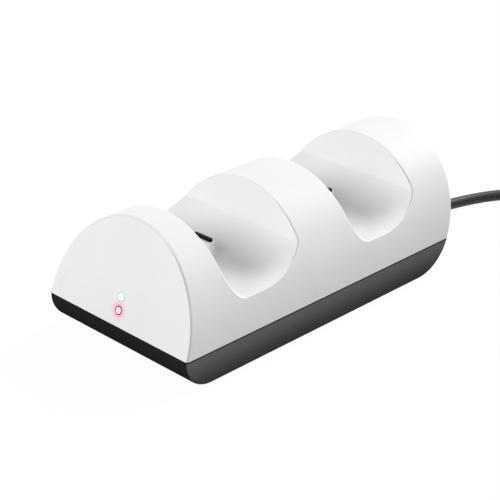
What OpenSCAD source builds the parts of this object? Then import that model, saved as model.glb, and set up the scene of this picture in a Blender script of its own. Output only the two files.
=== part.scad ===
// Charging dock for two game controllers: a white half-round cover with two bays,
// on a dark tray, with its boards, contact posts, wiring and lead.
// Millimetres. X is the width, Y runs from the sloping front face to the rear, Z is up.

/* [Body] */
// Width across the two long sides
body_width = 66; // [58:0.5:76]
// From the second bay's back wall to the top of the rear face
rear_length = 22.9; // [19:0.1:28]
// Height of the dark tray, up to the parting line
tray_height = 11; // [10.6:0.1:12]
// Straight flank between the parting line and the half-round section
flank_height = 0.2; // [0:0.1:1]
// How far the front face leans back, in degrees
front_lean = 18.6; // [14:0.1:22]
// How far the rear face leans back, in degrees
rear_lean = 18; // [14:0.1:21]
// Rounding of the rims where front and rear face meet the half-round section
rim_radius = 1.2; // [0.6:0.1:1.6]
// Wall of the white cover
cover_wall = 2.2; // [1.8:0.1:2.6]
// Wall and floor of the dark tray
tray_wall = 2.2; // [1.8:0.1:2.6]

/* [Bays] */
// From the foot of the front face to the front wall of the first bay
bay_start = 21.7; // [20:0.1:23.5]
// From one bay to the next
bay_pitch = 57.3; // [55:0.1:60]
// Height of a bay's floor over the parting line
bay_floor = 11.5; // [10.5:0.1:13]
// From a bay's front wall to its back wall, 25 mm over the parting line
bay_length = 34.4; // [33:0.1:36.5]
// How far a bay's back wall leans back, in degrees
bay_back_lean = 8; // [4:0.5:10]
// Radius of the bend that the front wall takes towards the floor
front_bend_radius = 12; // [10:0.5:15]
// Angle of that bend, in degrees
front_bend_angle = 36; // [30:1:42]
// Radius of the corner between that bend and the floor
front_corner_radius = 5; // [4:0.1:6]
// Radius of the ramp that the floor rises in
ramp_radius = 29; // [27:0.5:31]
// From the bay's front wall to the foot of the ramp
ramp_start = 13.3; // [12.5:0.1:14.5]
// Radius of the soft crease between ramp and back wall
crease_radius = 2.5; // [1.5:0.1:3.5]

/* [Tray] */
// Radius of the tray's lower front edge
tray_front_radius = 10.3; // [8:0.1:10.4]
// Radius of the tray's lower rear edge
tray_rear_radius = 15.9; // [14:0.1:17]
// Rounding of the tray's edges between its sides and its ends and underside
tray_edge_radius = 1.2; // [0.8:0.1:1.6]
// Depth of the lip that locates the cover in the tray
lip_depth = 2.4; // [1.8:0.1:3]

/* [Contact posts] */
// Width of a contact post, across the dock
post_width = 9; // [8:0.1:10]
// Thickness of a contact post
post_thickness = 2.2; // [2:0.1:2.6]
// Rounding of the post's upright edges
post_rounding = 0.4; // [0.2:0.1:0.7]
// From the bay's front wall to the middle of the post
post_place = 16.4; // [15.5:0.1:17.5]
// Height of the post over the bay's floor
post_height = 6.4; // [5:0.1:8]
// Width of the black contact head
head_width = 8.2; // [7.4:0.1:8.2]
// Thickness of the black contact head
head_thickness = 1.5; // [1.3:0.1:1.8]
// Rounding of the head's upright edges
head_rounding = 0.6; // [0.2:0.1:0.6]
// Height of the black contact head over its post
head_height = 0.8; // [0.6:0.1:1.4]
// Contacts on each head
contact_count = 4; // [2:1:4]

/* [Lights] */
// Diameter of a light window
light_diameter = 3; // [2.4:0.1:3.4]
// From the parting line up the front face to the lower light
lower_light_place = 5.3; // [4.8:0.1:6]
// Distance between the two lights
light_spacing = 4.5; // [4.2:0.1:5.2]

/* [Feet and screws] */
// Diameter of a rubber foot
foot_diameter = 9; // [7:0.5:10]
// Height of the tray over the ground, on its feet
foot_drop = 0.7; // [0.5:0.1:1.2]
// Depth of the recess that holds a foot
foot_recess = 1; // [0.6:0.1:1.2]
// Shank diameter of the case screws
case_screw_diameter = 2.6; // [2.2:0.1:3]
// Head diameter of the case screws
case_screw_head = 5; // [4.4:0.1:5.4]
// Length of the case screws under the head
case_screw_length = 16; // [12:0.5:18]

/* [Boards] */
// Width of the main board
board_width = 32; // [30:0.5:34]
// Length of the main board
board_length = 42; // [40:0.5:44]
// Thickness of the main board
board_thickness = 1.6; // [1:0.1:2]
// Thickness of the small boards
small_board_thickness = 1.2; // [0.8:0.1:1.6]

/* [Lead] */
// Diameter of the lead
cord_diameter = 4.2; // [3.8:0.1:4.6]
// Length of the tapered sleeve outside the tray
sleeve_length = 11; // [8:0.5:16]
// Wire diameter inside the dock
wire_diameter = 1.2; // [0.8:0.1:1.4]

/* [Hidden] */
$fn = 64;

// Fits
clearance = 0.05;
fine_step = 4;

// Lengths along the dock
overall_length = bay_start + bay_pitch + bay_length + rear_length;

// Heights
parting = foot_drop + tray_height;
section_centre = parting + flank_height;
radius = body_width / 2;
cover_top = section_centre + radius;
tray_floor = foot_drop + tray_wall;
rear_foot = overall_length - (cover_top - parting) * tan(rear_lean);
bay_count = 2;
bay_starts = [for (i = [0:bay_count - 1]) bay_start + i * bay_pitch];

// Tray outline
rear_arc_y = rear_foot - tray_rear_arc_reach();
function tray_rear_arc_reach() = tray_rear_radius * cos(rear_arc_tilt());
function rear_arc_tilt() = asin((foot_drop + tray_rear_radius - parting) / tray_rear_radius);

// Lip between cover and tray
lip_width = cover_wall / 2;
lip_gap = 0.1;
lip_root = 0.6;
lip_rear = rear_foot - 8;

// Case screws: middle of each, on both sides
case_screw_inset = 12;
case_screw_x = radius - case_screw_inset;
case_screw_places = [15.5, bay_starts[0] + bay_pitch - 10.3, bay_starts[1] + 28.5];
case_post_diameter = case_screw_head + 3.8;
case_boss_diameter = case_screw_diameter + 4.2;
case_joint = parting + 1;
case_seat = foot_drop + 3.3;
screw_head_height = 1.9;

// Feet
foot_inset = 11;
foot_from_screw = 11.5;
foot_x = radius - foot_inset;
foot_places = [case_screw_places[0] + foot_from_screw, case_screw_places[2] - foot_from_screw];

// Lights, in the plane of the front face
lens_flange = light_diameter + 1.4;
lens_flange_height = 0.9;
lens_length = cover_wall + 1.8;
lens_proud = 0.1;
light_chip_height = 1.2;
light_board_place = lens_length + light_chip_height;
light_board_width = 16;
light_board_low = 1.6;
light_board_high = lower_light_place + light_spacing + 4;
light_places = [lower_light_place, lower_light_place + light_spacing];
stud_x = light_board_width / 2 - 2;
stud_place = lower_light_place + light_spacing / 2;
stud_diameter = 2;

// Contact posts
post_top = parting + bay_floor + post_height;
pad_bottom = parting + bay_floor - cover_wall - 0.9;
contact_board_width = 22.6;
contact_screw_x = contact_board_width / 2 - 2.5;
pad_width = contact_board_width + 0.4;
pad_length = 11;
flange_height = 1.5;
flange_width = 2 * (contact_screw_x - 2.8);
flange_length = 6;
contact_board_top = pad_bottom - flange_height;
contact_screw_diameter = 1.8;
contact_screw_tip = parting + bay_floor - 1.1;
pin_width = 0.9;
pin_thickness = 0.5;
pin_pitch = 2;
pin_sink = 0.2;
stem_width = 4;
stem_thickness = 0.7;
stem_depth = 3;
post_places = [for (s = bay_starts) s + post_place];

// Main board
board_bottom = tray_floor + 4.1;
board_top = board_bottom + board_thickness;
board_middle = (post_places[0] + post_places[1]) / 2 + 2.3;
board_screw_x = board_width / 2 - 3.2;
board_screw_y = board_length / 2 - 3.2;
board_screw_diameter = 2;
board_screw_head = 3.8;
socket_gap = 4.8;
socket_from_screw = 0.9;
socket_size = [
    board_screw_x - board_screw_head / 2 - socket_from_screw - socket_gap / 2,
    5.6, 4.4
];
socket_inset = 0.4;

// Lead
cord_radius = cord_diameter / 2;
cord_height = tray_floor + 5;
neck_diameter = cord_diameter + 2;
seat_front = rear_foot - 10.6;
seat_width = neck_diameter + 8;
inner_flange = 1.5;
sleeve_start = rear_foot - 0.6;
sleeve_tip_diameter = cord_diameter + 0.7;
clamp_middle = rear_foot - 17.6;
clamp_length = 6;
clamp_screw_x = 6.8;
clamp_bottom = cord_height + cord_radius - 0.8;
clamp_thickness = 2;
clamp_screw_diameter = 2.2;
cord_start = rear_foot - 22;
wire_radius = wire_diameter / 2;

// Route of the lead from inside the tray to the coil; Y is counted from the rear foot
cord_route = [
    [0, -22, cord_height], [0, -13.5, cord_height], [0, -5.5, cord_height],
    [0, 2.5, cord_height], [0, 11.5, cord_height], [0, 16.5, 7.3], [0.1, 21.5, 5.8],
    [0.3, 26.5, 4.1], [0.7, 31.5, 2.8], [1.4, 36.5, 2.2], [2.7, 42, cord_radius],
    [4.3, 47.5, cord_radius], [6.1, 52.5, cord_radius], [8.3, 57.5, cord_radius],
    [11, 62.3, cord_radius], [13.9, 66.4, cord_radius]
];
cord_points = [for (p = cord_route) p + [0, rear_foot, 0]];

// Coil of the spare length, wound in layers that lie on each other
coil_middle = [50.7, rear_foot + 68.6];
coil_radius = 23;
coil_columns = 3;
coil_layers = 2;
coil_entry = 140;
coil_exit = 0;
stub_length = 16;
coil_outer = coil_radius + (coil_columns - 1) / 2 * cord_diameter;
coil_height = coil_layers * cord_diameter;

// Plug at the end of the lead
plug_height = 8;
plug_width = 15.6;
plug_length = 24;
plug_sleeve = 7;
plug_step = 6;
shell_size = [12, 18.7, 4.5];
shell_wall = 0.4;
tongue_thickness = 1.8;
tail_length = 21;
tie_strap = 0.6;
tie_width = 7;
tie_rounding = 1.8;
tie_angle = coil_exit - 70;
plug_turn = coil_exit;

// Points of an arc in a drawing plane, from angle a0 to a1
function arc(centre, r, a0, a1) =
    let (n = max(1, ceil(abs(a1 - a0) / fine_step)))
    [for (i = [0:n]) centre + r * [cos(a0 + (a1 - a0) * i / n), sin(a0 + (a1 - a0) * i / n)]];

// Middle of the crease between ramp and back wall, from the front wall and the parting line
function crease_middle() =
    let (
        along = [sin(bay_back_lean), cos(bay_back_lean)],
        into = [-cos(bay_back_lean), sin(bay_back_lean)],
        q = [bay_length, 25] + crease_radius * into - [ramp_start, bay_floor + ramp_radius],
        b = q * along,
        t = -b - sqrt(b * b - q * q + pow(ramp_radius - crease_radius, 2))
    )
    [bay_length, 25] + crease_radius * into + t * along;

// Side outline of one bay, grown by g on every side
function bay_outline(start, g) =
    let (
        drop = front_bend_radius * sin(front_bend_angle),
        rise = bay_floor + front_corner_radius * (1 - sin(front_bend_angle)) + drop,
        bend = [front_bend_radius, rise],
        corner = bend + (front_bend_radius - front_corner_radius)
            * [-cos(front_bend_angle), -sin(front_bend_angle)],
        ramp = [ramp_start, bay_floor + ramp_radius],
        crease = crease_middle(),
        to_crease = crease - ramp,
        ramp_end = atan2(to_crease[1], to_crease[0]) + 360,
        top = radius + 12,
        back_top = [bay_length + (top - 25) * tan(bay_back_lean) + g / cos(bay_back_lean), top],
        place = [start, parting]
    )
    [for (p = concat(
        [[-g, top]],
        arc(bend, front_bend_radius + g, 180, 180 + front_bend_angle),
        arc(corner, front_corner_radius + g, 180 + front_bend_angle, 270),
        arc(ramp, ramp_radius + g, 270, ramp_end),
        arc(crease, crease_radius + g, ramp_end, 360 - bay_back_lean),
        [back_top]
    )) p + place];

// Side outline of the cover, with each face set in by g
module cover_outline(g, low) {
    high = cover_top + 2;
    difference() {
        polygon([
            [g / cos(front_lean) + (low - parting) * tan(front_lean), low],
            [rear_foot - g / cos(rear_lean) + (low - parting) * tan(rear_lean), low],
            [rear_foot - g / cos(rear_lean) + (high - parting) * tan(rear_lean), high],
            [g / cos(front_lean) + (high - parting) * tan(front_lean), high]
        ]);
        for (start = bay_starts)
            polygon(bay_outline(start, g));
    }
}

// Side outline of the tray, with each face set in by g
module tray_outline(g, high) {
    front = [tray_front_radius, foot_drop + tray_front_radius];
    rear = [rear_arc_y, foot_drop + tray_rear_radius];
    low = foot_drop + g;
    tilt = rear_arc_tilt();
    rear_foot_in = rear + (tray_rear_radius - g) * [cos(tilt), -sin(tilt)];
    rear_high = rear_foot_in + (high - rear_foot_in[1]) * [tan(rear_lean), 1];
    polygon(concat(
        [[g, high]],
        arc(front, tray_front_radius - g, 180, 270),
        arc(rear, tray_rear_radius - g, 270, 360 - tilt),
        high > rear_foot_in[1] + 0.01 ? [[rear_high[0], high]] : []
    ));
}

// A side outline drawn in Y and Z, made into a solid across the dock
module across(width) {
    rotate([90, 0, 90])
        linear_extrude(width, center = true)
            children();
}

// The half-round section along the dock
module arch(r) {
    translate([0, -10, section_centre])
        rotate([-90, 0, 0])
            cylinder(h = overall_length + 20, r = r, $fn = 128);
}

// Cone that trims the rim of an end face; slant is the angle between its side and its axis.
// It meets the leaning face in an ellipse of the same proportions as the rim.
module rim_cone(foot, lean, end, slant) {
    inset = rim_radius * (1 - (1 - sin(slant)) / cos(slant));
    tilt = end * asin(sin(lean) * cos(slant));
    half_rim = (radius - inset) / cos(lean);
    depth = 2 * half_rim / (tan(tilt + slant) - tan(tilt - slant));
    shift = half_rim - depth * tan(tilt + slant);
    inward = end > 0 ? -lean : 180 - lean;
    middle = [foot + flank_height * tan(lean), section_centre];
    apex = middle + shift * [sin(lean), cos(lean)] - depth * [cos(inward), sin(inward)];
    reach = 2 * overall_length;
    translate([0, apex[0], apex[1]])
        rotate([inward + end * tilt - 90, 0, 0])
            cylinder(h = reach, r1 = 0, r2 = reach * tan(slant), $fn = 128);
}

// The cover as a full block
module cover_body() {
    intersection() {
        across(body_width + 2) cover_outline(0, parting);
        arch(radius);
        rim_cone(0, front_lean, 1, 22.5);
        rim_cone(0, front_lean, 1, 45);
        rim_cone(0, front_lean, 1, 67.5);
        rim_cone(rear_foot, rear_lean, -1, 22.5);
        rim_cone(rear_foot, rear_lean, -1, 45);
        rim_cone(rear_foot, rear_lean, -1, 67.5);
    }
}

// The block that lies g inside the cover's faces
module cover_core(g, low) {
    intersection() {
        across(body_width + 2) cover_outline(g, low);
        arch(radius - g);
    }
}

// Section of the tray from side to side, with rounded lower edges
module tray_section(g, high) {
    side = radius - g;
    low = foot_drop + g;
    round_off = max(0.2, tray_edge_radius - g);
    translate([0, overall_length + 10, 0])
        rotate([90, 0, 0])
            linear_extrude(overall_length + 20)
                polygon(concat(
                    [[-side, high]],
                    arc([-side + round_off, low + round_off], round_off, 180, 270),
                    arc([side - round_off, low + round_off], round_off, 270, 360),
                    [[side, high]]
                ));
}

// The space that lies g inside the tray's faces
module tray_block(g, high) {
    intersection() {
        across(body_width + 2) tray_outline(g, high);
        tray_section(g, high);
    }
}

// A round disc across the dock with rounded edges, which gives an end of the tray its form
module tray_disc(y, r) {
    half = radius - tray_edge_radius;
    translate([0, y, foot_drop + r])
        rotate([0, 90, 0])
            union() {
                cylinder(h = 2 * half, r = r, center = true, $fn = 128);
                cylinder(h = body_width, r = r - tray_edge_radius, center = true, $fn = 128);
                for (side = [-1, 1])
                    translate([0, 0, side * half])
                        rotate_extrude($fn = 128)
                            translate([r - tray_edge_radius, 0])
                                circle(r = tray_edge_radius, $fn = 24);
            }
}

// The stretch between the tray's two ends, with rounded lower edges
module tray_stretch() {
    half = radius - tray_edge_radius;
    length = rear_arc_y - tray_front_radius;
    low = foot_drop + tray_edge_radius;
    translate([0, tray_front_radius, 0])
        union() {
            translate([-half, 0, foot_drop])
                cube([2 * half, length, parting - foot_drop]);
            translate([-radius, 0, low])
                cube([body_width, length, parting - low]);
            both_sides(half)
                translate([0, 0, low])
                    rotate([-90, 0, 0])
                        cylinder(h = length, r = tray_edge_radius, $fn = 32);
        }
}

// The tray as a full block, with a rounded band over its front end
module tray_body() {
    front_top = foot_drop + tray_front_radius;
    band = tray_front_radius + 2 * tray_edge_radius;
    intersection() {
        union() {
            tray_disc(tray_front_radius, tray_front_radius);
            tray_disc(rear_arc_y, tray_rear_radius);
            tray_stretch();
            translate([0, band / 2, front_top])
                upright_bar(body_width, band, parting - front_top, tray_edge_radius);
        }
        translate([-body_width, -1, 0])
            cube([2 * body_width, overall_length, parting]);
    }
}

// Moves a piece from the foot of the front face to the middle of the dock
module placed() {
    translate([0, -overall_length / 2, 0])
        children();
}

// Moves a piece into the plane of the front face: Y goes inwards, Z goes up the slope
module on_front_face() {
    translate([0, 0, parting])
        rotate([-front_lean, 0, 0])
            children();
}

// A copy on both sides of the dock
module both_sides(x) {
    for (side = [-1, 1])
        translate([side * x, 0, 0])
            children();
}

// An upright bar with rounded upright edges
module upright_bar(width, thickness, height, r) {
    union() {
        translate([-width / 2 + r, -thickness / 2, 0])
            cube([width - 2 * r, thickness, height]);
        translate([-width / 2, -thickness / 2 + r, 0])
            cube([width, thickness - 2 * r, height]);
        for (y = [-1, 1])
            translate([0, y * (thickness / 2 - r), 0])
                both_sides(width / 2 - r)
                    cylinder(h = height, r = r, $fn = 32);
    }
}

// A round tube through a list of points
module tube(points, r, sides, sidewards) {
    last = len(points) - 1;
    heading = [for (i = [0:last])
        let (d = points[min(i + 1, last)] - points[max(i - 1, 0)])
        d / norm(d)];
    rings = [for (i = [0:last])
        let (
            u0 = cross(heading[i], sidewards),
            u = u0 / norm(u0),
            v = cross(heading[i], u)
        )
        for (k = [0:sides - 1])
            points[i] + r * (cos(360 * k / sides) * u + sin(360 * k / sides) * v)];
    walls = [for (i = [0:last - 1], k = [0:sides - 1])
        let (next = (k + 1) % sides)
        [i * sides + k, i * sides + next, (i + 1) * sides + next, (i + 1) * sides + k]];
    caps = [
        [for (k = [sides - 1:-1:0]) k],
        [for (k = [0:sides - 1]) last * sides + k]
    ];
    polyhedron(points = rings, faces = concat(caps, walls), convexity = 4);
}

// Middle of each case screw on one side
module at_case_screws() {
    for (y = case_screw_places)
        translate([0, y, 0])
            both_sides(case_screw_x)
                children();
}

// Lip under the cover's walls, which the tray's rim takes
module cover_lip() {
    outer = radius - lip_width - lip_gap;
    inner = radius - cover_wall;
    difference() {
        translate([-outer, lip_width + lip_gap, parting - lip_depth])
            cube([2 * outer, lip_rear - lip_width, lip_depth + lip_root]);
        translate([-inner, cover_wall, parting - lip_depth - 1])
            cube([2 * inner, lip_rear, lip_depth + lip_root + 2]);
    }
}

// Tab under the rear wall that closes the notch over the lead's sleeve
module notch_tab() {
    width = neck_diameter - 2 * clearance;
    intersection() {
        difference() {
            translate([-width / 2, seat_front, cord_height])
                cube([width, rear_foot, parting - cord_height + 2.6]);
            translate([0, seat_front - 1, cord_height])
                rotate([-90, 0, 0])
                    cylinder(h = rear_foot, d = neck_diameter + 2 * clearance);
        }
        across(width + 2) union() {
            tray_outline(0, parting);
            translate([0, parting])
                square([rear_foot - 0.4, 3]);
        }
    }
}

// Bosses, studs and pads inside the cover
module cover_inside() {
    intersection() {
        union() {
            at_case_screws()
                translate([0, 0, case_joint])
                    cylinder(h = radius, d = case_boss_diameter);
            for (y = post_places)
                translate([-pad_width / 2, y - pad_length / 2, pad_bottom])
                    cube([pad_width, pad_length, bay_floor]);
            for (y = post_places)
                translate([0, y, contact_board_top])
                    both_sides(contact_screw_x)
                        cylinder(h = bay_floor, d = contact_screw_diameter + 2.8, $fn = 32);
            on_front_face()
                both_sides(stud_x)
                    translate([0, 0, stud_place])
                        rotate([-90, 0, 0])
                            cylinder(h = light_board_place, d = stud_diameter + 2, $fn = 32);
        }
        cover_core(cover_wall / 2, parting);
    }
    on_front_face()
        both_sides(stud_x)
            translate([0, cover_wall / 2, stud_place])
                rotate([-90, 0, 0])
                    cylinder(h = light_board_place + small_board_thickness, d = stud_diameter, $fn = 32);
}

module top_cover() {
    color("#f2f2f3") placed()
        difference() {
            union() {
                difference() {
                    cover_body();
                    cover_core(cover_wall, parting - 2);
                }
                cover_lip();
                notch_tab();
                cover_inside();
            }
            on_front_face()
                for (z = light_places)
                    translate([0, -5, z])
                        rotate([-90, 0, 0])
                            cylinder(h = 12, d = light_diameter + 2 * clearance, $fn = 48);
            at_case_screws()
                translate([0, 0, case_joint - 1])
                    cylinder(h = case_seat + case_screw_length + 1.5 - case_joint, d = case_screw_diameter + 2 * clearance);
            for (y = post_places)
                translate([0, y, 0]) {
                    translate([0, 0, pad_bottom - 1])
                        upright_bar(post_width + 2 * clearance, post_thickness + 2 * clearance,
                            bay_floor, post_rounding + clearance);
                    translate([0, 0, contact_board_top - 1])
                        both_sides(contact_screw_x)
                            cylinder(h = contact_screw_tip - contact_board_top + 1.2, d = contact_screw_diameter + 2 * clearance, $fn = 32);
                }
        }
}

// Posts, seats and saddles on the tray's floor
module tray_inside() {
    base = tray_floor - 0.5;
    intersection() {
        union() {
            at_case_screws()
                translate([0, 0, base])
                    cylinder(h = case_seat + 1.6 - base, d = case_post_diameter);
            translate([-seat_width / 2, seat_front, base])
                cube([seat_width, rear_foot - seat_front, parting - base]);
            translate([0, board_middle, base])
                for (y = [-board_screw_y, board_screw_y])
                    translate([0, y, 0])
                        both_sides(board_screw_x)
                            cylinder(h = board_bottom - base, d = board_screw_diameter + 3);
            translate([0, clamp_middle, base])
                both_sides(clamp_screw_x)
                    cylinder(h = clamp_bottom - base, d = clamp_screw_diameter + 3);
            translate([-cord_radius - 1.2, clamp_middle - clamp_length / 2, base])
                cube([cord_diameter + 2.4, clamp_length, cord_height - cord_radius + 1 - base]);
        }
        tray_block(tray_wall / 2, parting);
    }
    at_case_screws()
        translate([0, 0, base])
            cylinder(h = case_joint - base, d = case_boss_diameter);
}

module base_tray() {
    color("#2b2b2f") placed()
        difference() {
            union() {
                difference() {
                    tray_body();
                    tray_block(tray_wall, parting + 1);
                    translate([-(radius - lip_width), lip_width, parting - lip_depth - lip_gap])
                        cube([2 * (radius - lip_width), lip_rear - lip_width + lip_gap, lip_depth + 1]);
                }
                tray_inside();
            }
            at_case_screws() {
                cylinder(h = case_seat, d = case_screw_head + 0.8);
                cylinder(h = parting + 5, d = case_screw_diameter + 0.5);
            }
            for (y = foot_places)
                translate([0, y, foot_drop - 1])
                    both_sides(foot_x)
                        cylinder(h = foot_recess + 1, d = foot_diameter + 2 * clearance);
            translate([0, seat_front - 1, cord_height])
                rotate([-90, 0, 0])
                    cylinder(h = 20, d = neck_diameter + 2 * clearance);
            translate([-neck_diameter / 2 - clearance, seat_front - 1, cord_height])
                cube([neck_diameter + 2 * clearance, 20, tray_height]);
            translate([0, clamp_middle - 10, cord_height])
                rotate([-90, 0, 0])
                    cylinder(h = 15, d = cord_diameter + 2 * clearance);
            translate([0, board_middle, tray_floor + 0.4])
                for (y = [-board_screw_y, board_screw_y])
                    translate([0, y, 0])
                        both_sides(board_screw_x)
                            cylinder(h = tray_height, d = board_screw_diameter + 2 * clearance, $fn = 32);
            translate([0, clamp_middle, tray_floor + 0.4])
                both_sides(clamp_screw_x)
                    cylinder(h = tray_height, d = clamp_screw_diameter + 2 * clearance, $fn = 32);
        }
}

module feet() {
    color("#3a3a3c") placed()
        for (y = foot_places)
            translate([0, y, 0])
                both_sides(foot_x) {
                    cylinder(h = 0.4, d1 = foot_diameter - 0.8, d2 = foot_diameter);
                    translate([0, 0, 0.4])
                        cylinder(h = foot_drop + foot_recess - 0.4, d = foot_diameter);
                }
}

// A pan-headed screw with its tip up and its head seated at z = 0
module screw(shank, head, head_height, length) {
    difference() {
        union() {
            translate([0, 0, -head_height])
                cylinder(h = head_height, d = head);
            cylinder(h = length - shank / 2, d = shank, $fn = 32);
            translate([0, 0, length - shank / 2])
                cylinder(h = shank / 2, d1 = shank, d2 = shank / 3, $fn = 32);
        }
        for (turn = [0, 90])
            rotate([0, 0, turn])
                translate([-head * 0.32, -head * 0.06, -head_height - 1])
                    cube([head * 0.64, head * 0.12, 1 + head_height * 0.6]);
    }
}

module case_screws() {
    color("#8d8f92") placed()
        at_case_screws()
            translate([0, 0, case_seat])
                screw(case_screw_diameter, case_screw_head, screw_head_height, case_screw_length);
}

// A clear light pipe with a flange behind the cover's wall
module light_lens(place) {
    on_front_face()
        translate([0, 0, place])
            rotate([-90, 0, 0]) {
                translate([0, 0, -lens_proud])
                    cylinder(h = lens_length + lens_proud, d = light_diameter, $fn = 48);
                translate([0, 0, cover_wall])
                    cylinder(h = lens_flange_height, d = lens_flange, $fn = 48);
            }
}

module upper_light_lens() {
    color("#d8f4f0") placed()
        light_lens(light_places[1]);
}

module lower_light_lens() {
    color("#ff5a64") placed()
        light_lens(light_places[0]);
}

module light_board() {
    color("#1f5a3a") placed()
        on_front_face()
            difference() {
                translate([-light_board_width / 2, light_board_place, light_board_low])
                    cube([light_board_width, small_board_thickness, light_board_high - light_board_low]);
                both_sides(stud_x)
                    translate([0, light_board_place - 1, stud_place])
                        rotate([-90, 0, 0])
                            cylinder(h = 4, d = stud_diameter + 2 * clearance, $fn = 32);
            }
}

// The two light chips, one behind each light pipe
module indicator_lights() {
    color("#f4f1e2") placed()
        on_front_face()
            for (z = light_places)
                translate([-1.4, lens_length, z - 0.8])
                    cube([2.8, light_chip_height, 1.6]);
}

// A post with its flange, cut out for the contact strips and the head's stem
module contact_post(place) {
    translate([0, place, 0])
        difference() {
            union() {
                translate([0, 0, contact_board_top])
                    upright_bar(post_width, post_thickness, post_top - contact_board_top, post_rounding);
                translate([-flange_width / 2, -flange_length / 2, contact_board_top])
                    cube([flange_width, flange_length, flange_height]);
            }
            contact_strips(clearance);
            translate([-stem_width / 2 - clearance, -post_thickness / 2 + 0.4, post_top - stem_depth])
                cube([stem_width + 2 * clearance, stem_thickness, stem_depth + 1]);
        }
}

// The contact strips of one post, grown by g
module contact_strips(g) {
    y = head_thickness / 2 - pin_thickness + clearance;
    for (i = [0:contact_count - 1])
        translate([(i - (contact_count - 1) / 2) * pin_pitch - pin_width / 2 - g, y - g, contact_board_top])
            cube([pin_width + 2 * g, pin_thickness + 2 * g, post_top + head_height - pin_sink - contact_board_top + g]);
}

module contact_head(place) {
    translate([0, place, 0])
        difference() {
            union() {
                translate([0, 0, post_top])
                    upright_bar(head_width, head_thickness, head_height, head_rounding);
                translate([-stem_width / 2, -post_thickness / 2 + 0.4, post_top - stem_depth + 0.2])
                    cube([stem_width, stem_thickness - clearance, stem_depth]);
            }
            contact_strips(clearance);
        }
}

module front_contact_post() {
    color("#e4e4e6") placed()
        contact_post(post_places[0]);
}

module rear_contact_post() {
    color("#e4e4e6") placed()
        contact_post(post_places[1]);
}

module front_contact_head() {
    color("#141416") placed()
        contact_head(post_places[0]);
}

module rear_contact_head() {
    color("#141416") placed()
        contact_head(post_places[1]);
}

module front_contact_pins() {
    color("#d9b25a") placed()
        translate([0, post_places[0], 0])
            contact_strips(0);
}

module rear_contact_pins() {
    color("#d9b25a") placed()
        translate([0, post_places[1], 0])
            contact_strips(0);
}

module contact_board(place) {
    translate([0, place, contact_board_top - small_board_thickness])
        difference() {
            translate([-contact_board_width / 2, -pad_length / 2, 0])
                cube([contact_board_width, pad_length, small_board_thickness]);
            both_sides(contact_screw_x)
                translate([0, 0, -1])
                    cylinder(h = 5, d = contact_screw_diameter + 4 * clearance, $fn = 32);
        }
}

module front_contact_board() {
    color("#1f5a3a") placed()
        contact_board(post_places[0]);
}

module rear_contact_board() {
    color("#1f5a3a") placed()
        contact_board(post_places[1]);
}

module contact_board_screws() {
    color("#b9bbbe") placed()
        for (y = post_places)
            translate([0, y, contact_board_top - small_board_thickness])
                both_sides(contact_screw_x)
                    screw(contact_screw_diameter, 3.6, 1.3,
                        contact_screw_tip - contact_board_top + small_board_thickness);
}

module main_board() {
    color("#1f5a3a") placed()
        translate([0, board_middle, 0])
            difference() {
                translate([-board_width / 2, -board_length / 2, board_bottom])
                    cube([board_width, board_length, board_thickness]);
                for (y = [-board_screw_y, board_screw_y])
                    translate([0, y, 0])
                        both_sides(board_screw_x)
                            cylinder(h = parting + 5, d = board_screw_diameter + 4 * clearance, $fn = 32);
            }
}

module board_screws() {
    color("#b9bbbe") placed()
        translate([0, board_middle, board_top])
            for (y = [-board_screw_y, board_screw_y])
                translate([0, y, 0])
                    both_sides(board_screw_x)
                        mirror([0, 0, 1])
                            screw(board_screw_diameter, board_screw_head, 1.4, board_top - tray_floor - 0.6);
}

// Places on the main board, from its middle: x as a share of the board's width
module on_board(share, y) {
    translate([share * board_width, board_middle + y, board_top])
        children();
}

// One charge chip for each bay
module charge_chips() {
    color("#1c1c1e") placed()
        for (y = [-6, 6])
            on_board(-0.22, y)
                translate([-2.5, -2.5, 0])
                    cube([5, 5, 1]);
}

module control_chip() {
    color("#1c1c1e") placed()
        on_board(0.11, 0)
            translate([-3, -3.9, 0])
                cube([6, 7.8, 1.6]);
}

// Two wound chokes in square cases
module chokes() {
    color("#4a4a4e") placed()
        for (y = [-7, 7])
            on_board(0.025, y * 1.35)
                intersection() {
                    translate([-3, -3, 0])
                        cube([6, 6, 3]);
                    cylinder(h = 3, d = 7.6);
                }
}

// Two round capacitors
module capacitors() {
    color("#c9ccd0") placed()
        for (y = [-7, 7])
            on_board(0.3, y)
                difference() {
                    cylinder(h = 5.4, d = 6.3);
                    translate([0, 0, 4.4])
                        rotate_extrude()
                            translate([3.15, 0])
                                circle(d = 0.5, $fn = 16);
                }
}

// Sockets on the main board: towards the front for bay and lights, towards the rear for bay and lead
socket_x = (socket_gap + socket_size[0]) / 2;
socket_y = board_length / 2 - socket_size[1] / 2 - socket_inset;
socket_middle = board_top + socket_size[2] / 2;
wire_spread = 1.25;
light_wire_place = 3.4;

module wire_sockets() {
    color("#ece9df") placed()
        for (end = [-1, 1])
            both_sides(socket_x)
                on_board(0, end * socket_y)
                    translate([-socket_size[0] / 2, -socket_size[1] / 2, 0])
                        difference() {
                            cube(socket_size);
                            translate([1, 1, 2.9])
                                cube([socket_size[0] - 2, socket_size[1] - 2, 2]);
                        }
}

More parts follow.
